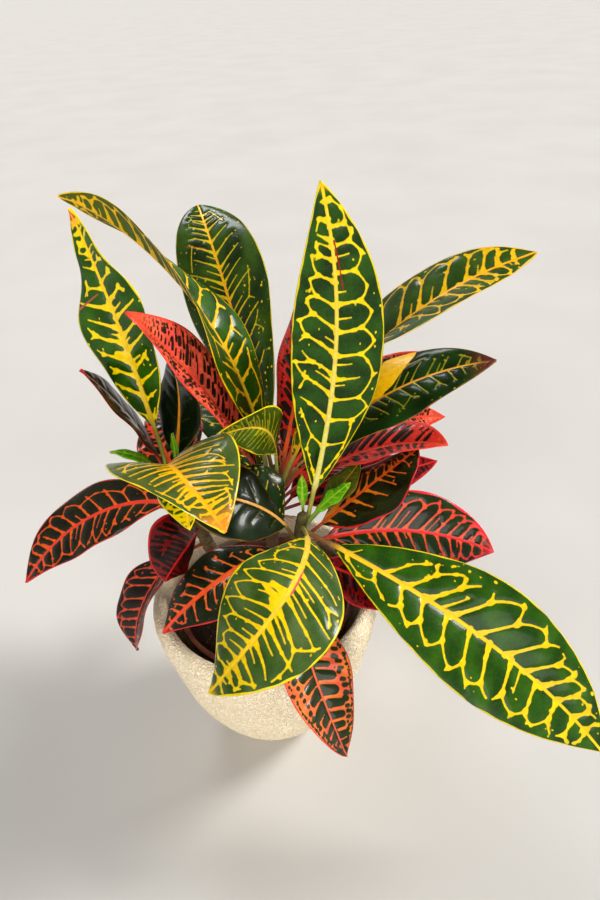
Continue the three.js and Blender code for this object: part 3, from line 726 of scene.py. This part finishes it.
    def draw_cells(self, starts, half):
        """Dark cells between the laterals, in rows from the midrib to the margin."""
        look, rng, leaf = self.look, self.rng, self.leaf
        uneven = look["uneven"]
        off = CELL["place"] + UNEVEN["place"] * uneven
        lag = CELL["end"] + UNEVEN["end"] * uneven
        least = CELL["width"][0] - UNEVEN["width"] * uneven
        starts = [starts[0] - self.of_half("spacing", half), *starts, leaf.blade]
        for start, following in zip(starts, starts[1:]):
            self.stroke(self.run(start, half, 0, CELL["last"]), look["vein"], self.lines)
            if start > look["clear"] * leaf.blade:
                continue
            gap = following - start
            swell = mix(*look["swell"], max(start / leaf.blade, 0))
            for low, high, count, fill in look["cells"]:
                for k in range(count):
                    if rng.random() < look["missing"]:
                        continue
                    at = start + gap * ((k + 0.5) / count + rng.normal(0, off))
                    shift = rng.uniform(-CELL["shift"], CELL["shift"]) * (1 + uneven)
                    end = high + shift + rng.uniform(-lag, CELL["shift"])
                    path = self.run(at, half, low + shift, end, CELL["steps"], CELL["sway"])
                    width = fill * swell * gap / count * rng.uniform(least, CELL["width"][1])
                    self.stroke(path, (width, width * rng.uniform(*CELL["narrows"])), self.ink)

    def dots(self):
        """Small specks at random, and the leaf's own patches."""
        look, rng, leaf = self.look, self.rng, self.leaf
        for _ in range(look["dots"]):
            x = leaf.blade * rng.uniform(*DOT["along"])
            p = rng.choice((-1, 1)) * rng.uniform(*DOT["across"]) ** DOT["across_power"]
            size = rng.uniform(*DOT["size"]) ** DOT["size_power"]
            end = (x + rng.uniform(-DOT["length"], DOT["length"]), p)
            self.stroke([(x, p), end], (size, size * DOT["tail"]), self.ink, 0)
        for patch in look["patches"]:
            self.shape(*patch, self.ink)


def srgb(red, green, blue):
    """A colour given as it looks on screen as the linear colour a shader takes."""
    parts = np.array([red, green, blue]) / 255
    return np.where(parts <= 0.04045, parts / 12.92, ((parts + 0.055) / 1.055) ** 2.4)


def blended(pair, share):
    """A colour between two screen colours, for an array of shares."""
    low, high = (srgb(*colour) for colour in pair)
    return mix(low, high, np.asarray(share)[..., None])


def paint(leaf):
    """The distance fields and colours of a leaf's grid."""
    look, rng = leaf.look, leaf.rng
    veins = Veins(leaf)
    x, y, half = leaf.x, leaf.y, leaf.half[:, None]
    wide_x = np.broadcast_to(x[:, None], y.shape)
    u = np.clip(wide_x / leaf.blade, 0, 1)
    p = np.abs(y) / half
    fillet = 0 if look["cells"] else PAINT["fillet"] * look["vein"][1]
    ink = drawn(veins.ink, x, y, fillet)
    relief = drawn(veins.lines, x, y)
    stalk = 2 * leaf.petiole_radius + PAINT["stalk"]
    near_stalk = np.exp(-wide_x.clip(0) / PAINT["stalk_run"])
    widths = np.where(wide_x < 0, stalk, mix(mix(*look["rib"], u), stalk, near_stalk))
    rib = np.abs(y) - widths / 2
    # Painted shade on the midrib: lighter down its middle, darker towards its sides, for a rounded
    # look.
    shade = PAINT["rib_painted_shade"] * (2 * np.abs(y) / widths).clip(0, 1) ** 2
    wander = 1 + PAINT["edge_wave"] * waves(rng, PAINT["edge_size"])(wide_x, y)
    edge = (half - np.abs(y)) - look["margin"] * wander
    edge = np.where(wide_x > PAINT["edge_from"], edge, FAR)
    drift = waves(rng, PAINT["drift"])(wide_x, y) * 0.5 + 0.5
    ink_share = PAINT["ink_across"] * p + PAINT["ink_along"] * u
    colours = {
        "ground": blended(look["ground"], drift.clip(0, 1)),
        "ink_tint": blended(look["ink"], ink_share.clip(0, 1)),
        "rib_tint": blended(look["ribs"], u),
    }
    if look["tip"]:
        start, colour = look["tip"]
        share = smooth_step(start, 1.0, u)[..., None]
        colours = {key: mix(value, srgb(*colour), share) for key, value in colours.items()}
    on_stalk = smooth_step(*PAINT["stalk_tint"], wide_x)[..., None]
    rib_tint = mix(colours["rib_tint"], srgb(*look["stalk"]), on_stalk)
    rib_tint = rib_tint * (PAINT["rib_painted_light"] - shade)[..., None]
    rib_tint = np.where((edge < rib)[..., None], srgb(*look["edge"]), rib_tint)
    for *shape, colour in look["marks"]:
        strokes = []
        veins.shape(*shape, strokes)
        mark = drawn(strokes, x, y)
        rib_tint = np.where((mark < np.minimum(rib, edge))[..., None], srgb(*colour), rib_tint)
        rib = np.minimum(rib, mark)
    fields = {"ink": ink, "rib": np.minimum(rib, edge)}
    return {**fields, **colours, "rib_tint": rib_tint}, np.minimum(relief, rib.clip(0))


def leaf_rings(leaf, relief):
    """The points of the upper and the lower face, row by row and column by column."""
    s, t = leaf.rows, leaf.columns[None, :]
    tangent, side = leaf.heading(s)
    centre = leaf.midrib()
    root_points, root_tangents = leaf.root(centre[0], tangent[0])
    extra = len(root_points)
    centre = np.concatenate([root_points, centre])
    tangent = np.concatenate([root_tangents, tangent])

    def spread(values):
        return np.concatenate([np.repeat(values[:1], extra, 0), values])

    side = spread(side)
    up = np.cross(tangent, side)
    roll = spread(np.radians(leaf.roll + leaf.twist * s))[:, None]
    across = np.cos(roll) * side + np.sin(roll) * up
    out = np.cos(roll) * up - np.sin(roll) * side
    u = spread(np.clip(leaf.x / leaf.blade, 0, 1))[:, None]
    half = spread(leaf.half)[:, None]
    radius, fold = leaf.petiole_radius, math.radians(leaf.fold)
    bladed = np.clip((half / radius - 1) / LEAF["flare"], 0, 1)
    crease = np.sqrt(t * t + LEAF["crease"] ** 2) - LEAF["crease"]
    bend = bladed * half * (math.sin(fold) * crease - LEAF["arch"] * t * t)
    shift = np.where(t > 0, 0, LEAF["wave_shift"])
    ripple = leaf.wave * t * t * np.sin(TAU * LEAF["waves"] * u + shift)
    ripple = ripple * np.sqrt(np.sin(math.pi * u).clip(0))
    swell = np.ones((extra + len(s), 1))
    swelling = extra + LEAF["swell_rows"]
    swell[:swelling, 0] += np.linspace(LEAF["swell"], 0, swelling)
    offset = half * t * np.cos(bladed * fold)
    offset = np.where(bladed > 0.02, offset, offset * swell)
    round_half = radius * swell * np.sqrt((1 - t * t).clip(0))
    thin = LEAF["half_thickness"] * np.sqrt((1 - t**6).clip(0))
    puff = spread(LEAF["pucker"] * (1 - np.exp(-relief.clip(0) / LEAF["pucker_run"])))
    puff = puff * (1 - t**8) * bladed
    keel = mix(radius, LEAF["keel"], u ** LEAF["keel_power"])
    keel = keel * np.exp(-((half * t / (LEAF["keel_width"] * radius)) ** 2))
    middle = (centre[:, None] + across[:, None] * offset[..., None]
              + out[:, None] * (bend + ripple + puff)[..., None])
    upper = middle + out[:, None] * mix(round_half, thin, bladed)[..., None]
    lower = middle - out[:, None] * mix(round_half, thin + keel, bladed)[..., None]
    return upper, lower, extra


def build_leaf(key, materials):
    leaf = Leaf(key)
    fields, relief = paint(leaf)
    upper, lower, extra = leaf_rings(leaf, relief)
    upper[:, [0, -1]] = (upper[:, [0, -1]] + lower[:, [0, -1]]) / 2
    # Each ring runs back over the lower face, so that it turns anticlockwise seen from the tip.
    rings = np.concatenate([lower[:, :-1], upper[:, :0:-1]], 1)
    points, quads, fans = closed_tube(rings)

    def on_ring(values):
        values = np.concatenate([np.repeat(values[:1], extra, 0), values])
        ring = np.concatenate([values[:, :-1], values[:, :0:-1]], 1)
        flat = ring.reshape(-1, *ring.shape[2:])
        return np.concatenate([flat, ring[0, :1], ring[-1, :1]])

    attributes = [(title, on_ring(values)) for title, values in fields.items()]
    below = np.tile(np.arange(rings.shape[1]) < len(leaf.columns) - 1, len(rings) - 1)
    sides = np.concatenate([below, np.ones(len(fans), bool)]).astype(int)
    mesh = new_mesh(leaf.name, points, quads, fans, attributes, sides)
    new_piece("blade_" + key, mesh, materials[leaf.kind], "leaf_" + leaf.kind, leaf.name)


# ---- Materials: noise and cells are scaled in swells to the metre, bumps in millimetres ----


class Shader:
    """A material with a principled shader, and a short way to add nodes to it."""

    def __init__(self, name, values):
        self.material = bpy.data.materials.new(name)
        self.material.use_nodes = True
        self.tree = self.material.node_tree
        self.tree.nodes.clear()
        self.surface = self.add("BsdfPrincipled", values)
        self.add("OutputMaterial", {"Surface": self.surface.outputs[0]})

    def plug(self, socket, value):
        """Joins a node's input to another node's output, or gives it a number or a colour."""
        if isinstance(value, bpy.types.NodeSocket):
            self.tree.links.new(value, socket)
        else:
            socket.default_value = (*value, 1) if socket.type == "RGBA" else value

    def add(self, kind, values=None, **settings):
        node = self.tree.nodes.new("ShaderNode" + kind)
        for key, value in settings.items():
            setattr(node, key, value)
        for key, value in (values or {}).items():
            self.plug(node.inputs[key], value)
        return node

    def finish(self, colour, roughness, normal):
        """Gives the surface its looks, and hands back the material."""
        looks = {"Base Color": colour, "Roughness": roughness, "Normal": normal}
        for key, value in looks.items():
            self.plug(self.surface.inputs[key], value)
        return self.material

    def field(self, name):
        return self.add("Attribute", attribute_name=name).outputs["Fac"]

    def tint(self, name):
        return self.add("Attribute", attribute_name=name).outputs["Color"]

    def place(self):
        return self.add("TexCoord").outputs["Object"]

    def noise(self, scale, detail=3.0, roughness=0.55, distortion=0.0):
        values = {"Vector": self.place(), "Scale": scale, "Detail": detail,
                  "Roughness": roughness, "Distortion": distortion}
        return self.add("TexNoise", values).outputs["Fac"]

    def cells(self, scale):
        """The distance to the nearest edge between random cells."""
        values = {"Vector": self.place(), "Scale": scale}
        return self.add("TexVoronoi", values, feature="DISTANCE_TO_EDGE").outputs["Distance"]

    def math(self, operation, first, second):
        return self.add("Math", {0: first, 1: second}, operation=operation).outputs[0]

    def span(self, value, low, high, to_low=0.0, to_high=1.0):
        values = {"Value": value, "From Min": low, "From Max": high,
                  "To Min": to_low, "To Max": to_high}
        return self.add("MapRange", values, clamp=True).outputs["Result"]

    def clouds(self, noise, low=0.0, high=1.0):
        """Noise spread over the whole way between two values."""
        return self.span(noise, 0.3, 0.7, low, high)

    def blend(self, share, first, second, kind="MIX"):
        values = {0: share, 6: first, 7: second}
        return self.add("Mix", values, data_type="RGBA", blend_type=kind).outputs[2]

    def between(self, share, pair):
        """A colour between two screen colours."""
        return self.blend(share, *(srgb(*colour) for colour in pair))

    def shaded(self, colour, scale, detail, low, high):
        """A colour made lighter and darker in clouds."""
        shade = self.clouds(self.noise(scale, detail), low, high)
        grey = self.add("CombineColor", {0: shade, 1: shade, 2: shade}).outputs[0]
        return self.blend(1.0, colour, grey, "MULTIPLY")

    def bump(self, height, distance, strength=1.0, **below):
        values = {"Height": height, "Distance": distance * MM, "Strength": strength, **below}
        return self.add("Bump", values).outputs["Normal"]


def leaf_paint(shader, nets):
    """The blade's colour from the distance fields, with ragged vein edges and mottling."""
    ragged = shader.clouds(shader.noise(380, 2), -0.12, 0.12)
    ink = shader.math("ADD", shader.field("ink"), ragged)
    rib = shader.math("ADD", shader.field("rib"), shader.math("MULTIPLY", ragged, 0.45))
    is_ink, is_rib = shader.span(ink, 0.36, -0.2), shader.span(rib, 0.25, -0.15)
    ground = shader.shaded(shader.tint("ground"), 90, 3, 0.8, 1.2)
    in_nets = shader.span(shader.cells(230), 0.0, 0.07, nets, 0.0)
    ground = shader.blend(in_nets, ground, shader.tint("ink_tint"))
    ink_tint = shader.shaded(shader.tint("ink_tint"), 210, 2, 0.86, 1.08)
    rib_tint = shader.shaded(shader.tint("rib_tint"), 260, 2, 0.88, 1.1)
    colour = shader.blend(is_rib, shader.blend(is_ink, ground, ink_tint), rib_tint)
    return colour, is_ink, is_rib


def leaf_materials(kind):
    """The glossy upper face and the dull underside of one kind of leaf."""
    look = {**USUAL, **LOOKS[kind]}
    upper = Shader("upper_" + kind, {"Coat Weight": look["gloss"], "Coat Roughness": 0.13,
                                     "Specular IOR Level": 0.12})
    colour, is_ink, _ = leaf_paint(upper, look["nets"])
    gloss = upper.clouds(upper.noise(55, 2), 0.24, 0.38)
    gloss = upper.math("ADD", gloss, upper.math("MULTIPLY", is_ink, 0.06))
    skin = upper.bump(upper.cells(420), 0.12, 0.35)
    upper.finish(colour, gloss, upper.bump(upper.noise(260), 0.35, 0.5, Normal=skin))
    lower = Shader("under_" + kind, {"Specular IOR Level": 0.15})
    colour, is_ink, is_rib = leaf_paint(lower, look["nets"])
    veined = lower.math("MAXIMUM", lower.math("MULTIPLY", is_ink, 0.85), is_rib)
    colour = lower.blend(lower.span(veined, 0, 1, 0.6, 0.06), colour, srgb(*look["under"]))
    dull = lower.clouds(lower.noise(140), 0.5, 0.66)
    lower.finish(colour, dull, lower.bump(lower.cells(360), 0.2, 0.6))
    return upper.material, lower.material


def bark_material():
    shader = Shader("stem_bark", {"Specular IOR Level": 0.3})
    streaks = shader.clouds(shader.noise(240, 5, 0.65, 0.6))
    old = shader.between(streaks, COLOURS["bark"])
    green = shader.between(streaks, COLOURS["green_bark"])
    colour = shader.blend(shader.field("age"), green, old)
    colour = shader.blend(shader.field("scar"), colour, srgb(*COLOURS["scar"]))
    roughness = shader.span(streaks, 0, 1, 0.62, 0.85)
    return shader.finish(colour, roughness, shader.bump(shader.noise(420, 5, 0.7, 0.8), 0.5, 0.8))


def ceramic_material():
    """Cream stoneware with a wrinkled skin outside and a smoother beige wall inside."""
    shader = Shader("planter_cream", {"Specular IOR Level": 0.35})
    inside, cloud = shader.field("inside"), shader.clouds(shader.noise(38, 4))
    outer = shader.between(cloud, COLOURS["planter"])
    folds = shader.math("SUBTRACT", shader.noise(300, 1.5, 0.5, 0.9), 0.5)
    wrinkles = shader.span(shader.math("ABSOLUTE", folds, 0.0), 0.0, 0.15)
    # Painted shade: the wrinkle grooves are painted darker, in the wrinkle colour.
    groove_painted_shade = shader.span(wrinkles, 0, 0.7, 0.3, 0.0)
    outer = shader.blend(groove_painted_shade, outer, srgb(*COLOURS["wrinkle"]))
    inner = shader.between(cloud, COLOURS["planter_inside"])
    rough = shader.math("MULTIPLY", wrinkles, shader.span(inside, 0, 1, 1.0, 0.15))
    roughness = shader.clouds(shader.noise(300), 0.68, 0.86)
    return shader.finish(shader.blend(inside, outer, inner), roughness, shader.bump(rough, 0.95))


def plastic_material():
    shader = Shader("nursery_pot_plastic", {"Specular IOR Level": 0.45})
    dust = shader.span(shader.noise(70, 4), 0.45, 0.75)
    colour = shader.between(dust, COLOURS["nursery_pot"])
    roughness = shader.span(dust, 0, 1, 0.38, 0.7)
    return shader.finish(colour, roughness, shader.bump(shader.noise(900, 2), 0.08, 0.5))


def soil_material():
    shader = Shader("potting_soil", {"Specular IOR Level": 0.25})
    grain = shader.span(shader.noise(520, 5, 0.7), 0.35, 0.65)
    dark = shader.between(grain, COLOURS["soil"])
    colour = shader.blend(shader.field("chip"), dark, srgb(*COLOURS["chip"]))
    return shader.finish(colour, 0.95, shader.bump(shader.noise(800, 6, 0.75), 1.2))


# ---- Pot and soil ----


def spline(points, step):
    """A smooth line through points, in steps of about the given length."""
    points = np.array(points, float)
    padded = np.concatenate([points[:1], points, points[-1:]])
    out = []
    for i in range(len(points) - 1):
        a, b, c, d = padded[i : i + 4]
        count = max(int(np.linalg.norm(c - b) / step), 1)
        for t in np.arange(count) / count:
            out.append(0.5 * (2 * b + (c - a) * t + (2 * a - 5 * b + 4 * c - d) * t**2
                              + (3 * b - a - 3 * c + d) * t**3))
    return np.array(out + [points[-1]])


def turned(profile, sides):
    """Rings of points about the Z axis from a profile of (radius, height)."""
    return polar(profile[:, :1], full_turn(sides), profile[:, 1:])


def build_planter(material):
    """A round pot with a thick rim and a wrinkled skin that fades on its foot and inside."""
    size = PLANTER
    foot, wall, floor, line = (size[key] for key in ("foot", "wall", "floor", "outline"))
    outside = [(foot + r, z) for r, z in size["foot_round"]] + [(r, z) for z, r in line]
    outside += [(line[-1][1] - a * size["rim"], size["height"] - b * size["rim"])
                for a, b in size["rim_round"]]
    inside = [(r - wall, z) for z, r in line[-2::-1] if z > floor + wall]
    inside += [(foot + r, floor + z) for r, z in size["floor_round"]]
    profile = np.concatenate([
        [(r, 0) for r in np.linspace(size["middle"], foot - 2, size["foot_rings"])],
        spline(outside, size["step"]),
        spline(inside, size["inner_step"]),
        [(r, floor) for r in np.linspace(foot - 10, size["middle"], size["floor_rings"])],
    ])
    rings = turned(profile, size["sides"])
    gradient = np.gradient(profile, axis=0)
    normal = np.stack([gradient[:, 1], -gradient[:, 0]], -1)
    normal /= np.linalg.norm(normal, axis=1, keepdims=True)
    past_crest = np.arange(len(profile)) - np.argmax(profile[:, 1])
    inward = smooth_step(*size["inward"], past_crest)
    on_foot = smooth_step(*size["foot_fade"], profile[:, 1:])
    wrinkle = rough_height(rings, size["wrinkle_size"], 2)
    wrinkle = 1 - size["wrinkle_slope"] * np.abs(wrinkle)
    swell = size["swell"] * rough_height(rings, size["swell_size"], 2)
    lift = size["wrinkle"] * (1 - size["smoother_inside"] * inward)[:, None] * on_foot
    push = wrinkle.clip(-1, 1) * lift + swell * on_foot - size["sunk"]
    out = polar(normal[:, :1], full_turn(size["sides"]), normal[:, 1:] * on_foot)
    rings += push[..., None] * out
    flag = np.concatenate([np.repeat(inward, size["sides"]), [0, 1]])
    mesh = new_mesh("planter", *closed_tube(rings), [("inside", flag)])
    new_piece("cream_planter", mesh, [material], "ceramic_cream", "planter")


def nursery_radius(z):
    pot = NURSERY_POT
    return mix(pot["bottom"], pot["top"], (z - pot["foot"]) / pot["height"])


def build_nursery_pot(material):
    """A thin tapered pot with a lip, from the middle of its foot round to its floor."""
    pot = NURSERY_POT
    foot, top, lip, wall = pot["foot"], pot["foot"] + pot["height"], pot["lip"], pot["wall"]
    under = top - 2 * lip
    low, neck, mouth = (nursery_radius(z) for z in (foot, under, top))
    corners = [
        (pot["middle"], foot), (low - 1, foot), (low + 0.2, foot + 1.2),
        (neck - 0.2, under - 0.4), (neck + lip - 0.4, under), (neck + lip, under + 0.6),
        (mouth + lip - 0.2, top - 0.5), (mouth + lip - 0.8, top),
        (mouth - wall + 0.4, top), (mouth - wall, top - 0.5),
        (nursery_radius(foot + wall) - wall, foot + wall), (pot["middle"], foot + wall),
    ]
    profile = []
    for (r0, z0), (r1, z1) in zip(corners, corners[1:]):
        count = max(int(math.hypot(r1 - r0, z1 - z0) / pot["step"]), 1)
        profile += [(mix(r0, r1, t), mix(z0, z1, t)) for t in np.arange(count) / count]
    rings = turned(np.array(profile + corners[-1:]), pot["sides"])
    mesh = new_mesh("nursery_pot", *closed_tube(rings))
    new_piece("thin_nursery_pot", mesh, [material], "nursery_plastic", "nursery_pot")


def soil_radius(z):
    return nursery_radius(z) - NURSERY_POT["wall"] - SOIL["gap"]


def soil_top(x, y):
    """The lumpy dome of the soil, before its grains."""
    share = np.hypot(x, y) / soil_radius(SOIL["top"])
    angle = np.arctan2(y, x)
    lumps = SOIL["lump"] * np.sin(5 * angle + 9 * share) * np.cos(3 * angle - 7 * share)
    return SOIL["top"] + SOIL["dome"] * (1 - share**2) + lumps * smooth_step(0, 0.2, share)


def soil_chip(rng):
    """Rings of one crumb or sliver of bark, lying on the soil."""
    length, width, height = (rng.uniform(*CHIP[key]) for key in ("length", "width", "height"))
    turn, tilt = rng.uniform(0, TAU), rng.normal(0, CHIP["tilt"])
    angles = full_turn(CHIP["sides"])
    rings = []
    for t in np.linspace(-1, 1, CHIP["rings"]):
        size = math.sqrt(max(1 - t * t, 0.05)) * rng.uniform(*CHIP["uneven"])
        rings.append(np.stack([np.full(CHIP["sides"], t * length / 2),
                               width / 2 * size * np.cos(angles),
                               height / 2 * size * np.sin(angles)], -1))
    spin = Matrix.Rotation(turn, 3, "Z") @ Matrix.Rotation(tilt, 3, "Y")
    return np.array(rings) @ np.array(spin).T


def build_soil(material):
    """A plug with a crumbly dome, and chips strewn over it."""
    rng = np.random.default_rng(SOIL["seed"])
    radius, angles = soil_radius(SOIL["top"]), full_turn(SOIL["sides"])
    walls = np.linspace(SOIL["bottom"], SOIL["top"] - 1, SOIL["wall_rings"])
    rings = [polar(soil_radius(z), angles, z) for z in walls]
    for share in np.linspace(1, 0.01, SOIL["rings"]):
        ring = polar(share * radius, angles, 0.0)
        ring[:, 2] = soil_top(ring[:, 0], ring[:, 1])
        rings.append(ring)
    rings = np.array(rings)
    flat = rings * (1, 1, 0)
    crumbs = sum(lift * rough_height(flat, size, octaves) for lift, size, octaves in SOIL["crumbs"])
    on_top = smooth_step(len(walls) - 0.5, len(walls) + 2, np.arange(len(rings)))
    rings[..., 2] += crumbs * on_top[:, None]
    parts, tints = [closed_tube(rings)], [0]
    for _ in range(SOIL["chips"]):
        reach, angle = radius * SOIL["chip_reach"] * math.sqrt(rng.random()), rng.uniform(0, TAU)
        x, y = reach * math.cos(angle), reach * math.sin(angle)
        chip = soil_chip(rng) + (x, y, soil_top(x, y) + rng.uniform(0, SOIL["chip_lift"]))
        parts.append(closed_tube(chip))
        tints.append(rng.uniform(0, 1) ** 2)
    points, quads, fans = zip(*parts)
    counts = [len(part) for part in points]
    firsts = np.cumsum([0] + counts)
    mesh = new_mesh("soil", np.concatenate(points),
                    np.concatenate([part + first for part, first in zip(quads, firsts)]),
                    np.concatenate([part + first for part, first in zip(fans, firsts)]),
                    [("chip", np.repeat(tints, counts))])
    new_piece("potting_soil", mesh, [material], "potting_soil", "soil")


# ---- Stage ----


def build_floor():
    shader = Shader("floor_pale", {"Roughness": 0.8, "Specular IOR Level": 0.2})
    colour = shader.between(shader.clouds(shader.noise(3, 2)), COLOURS["floor"])
    shader.plug(shader.surface.inputs["Base Color"], colour)
    signs = ((-1, -1), (1, -1), (1, 1), (-1, 1))
    corners = [(x * FLOOR_REACH, y * FLOOR_REACH, 0) for x, y in signs]
    floor = placed("floor", new_mesh("floor", corners, [(0, 1, 2, 3)]))
    floor.data.materials.append(shader.material)


def build_camera():
    data = bpy.data.cameras.new("camera")
    data.sensor_width = SENSOR
    data.lens = SENSOR * CAMERA["focal_pixels"] / PICTURE_HEIGHT
    camera = placed("camera", data)
    tilt = Matrix.Rotation(math.radians(90 - CAMERA["pitch"]), 4, "X")
    roll = Matrix.Rotation(math.radians(CAMERA["roll"]), 4, "Z")
    camera.matrix_world = Matrix.Translation(CAMERA["place"]) @ tilt @ roll
    bpy.context.scene.camera = camera


def build_lights():
    """A pale sky that dims upwards, and distant lamps with soft edges to their shadows."""
    world = bpy.data.worlds.new("studio")
    world.use_nodes = True
    nodes, links = world.node_tree.nodes, world.node_tree.links
    towards = nodes.new("ShaderNodeSeparateXYZ")
    links.new(nodes.new("ShaderNodeTexCoord").outputs["Generated"], towards.inputs[0])
    height = nodes.new("ShaderNodeMapRange")
    links.new(towards.outputs["Z"], height.inputs["Value"])
    for key, value in SKY.items():
        height.inputs[key].default_value = value
    background = nodes["Background"]
    background.inputs["Color"].default_value = (*srgb(*COLOURS["sky"]), 1)
    links.new(height.outputs["Result"], background.inputs["Strength"])
    bpy.context.scene.world = world
    for name, (towards, strength, spread, colour) in LAMPS.items():
        data = bpy.data.lights.new(name, "SUN")
        data.energy = strength
        data.angle = math.radians(spread)
        data.color = colour
        lamp = placed(name, data)
        lamp.location = Vector(towards)
        lamp.rotation_euler = Vector(towards).to_track_quat("Z", "Y").to_euler()
    bpy.context.scene.view_settings.view_transform = "Standard"


# ---- The part ----

build_camera()
build_lights()
build_floor()
build_planter(ceramic_material())
build_nursery_pot(plastic_material())
build_soil(soil_material())
bark = bark_material()
for stem in STEMS:
    build_stem(stem, bark)
kinds = {kind: leaf_materials(kind) for kind in LOOKS}
for leaf_name in LEAVES:
    build_leaf(leaf_name, kinds)
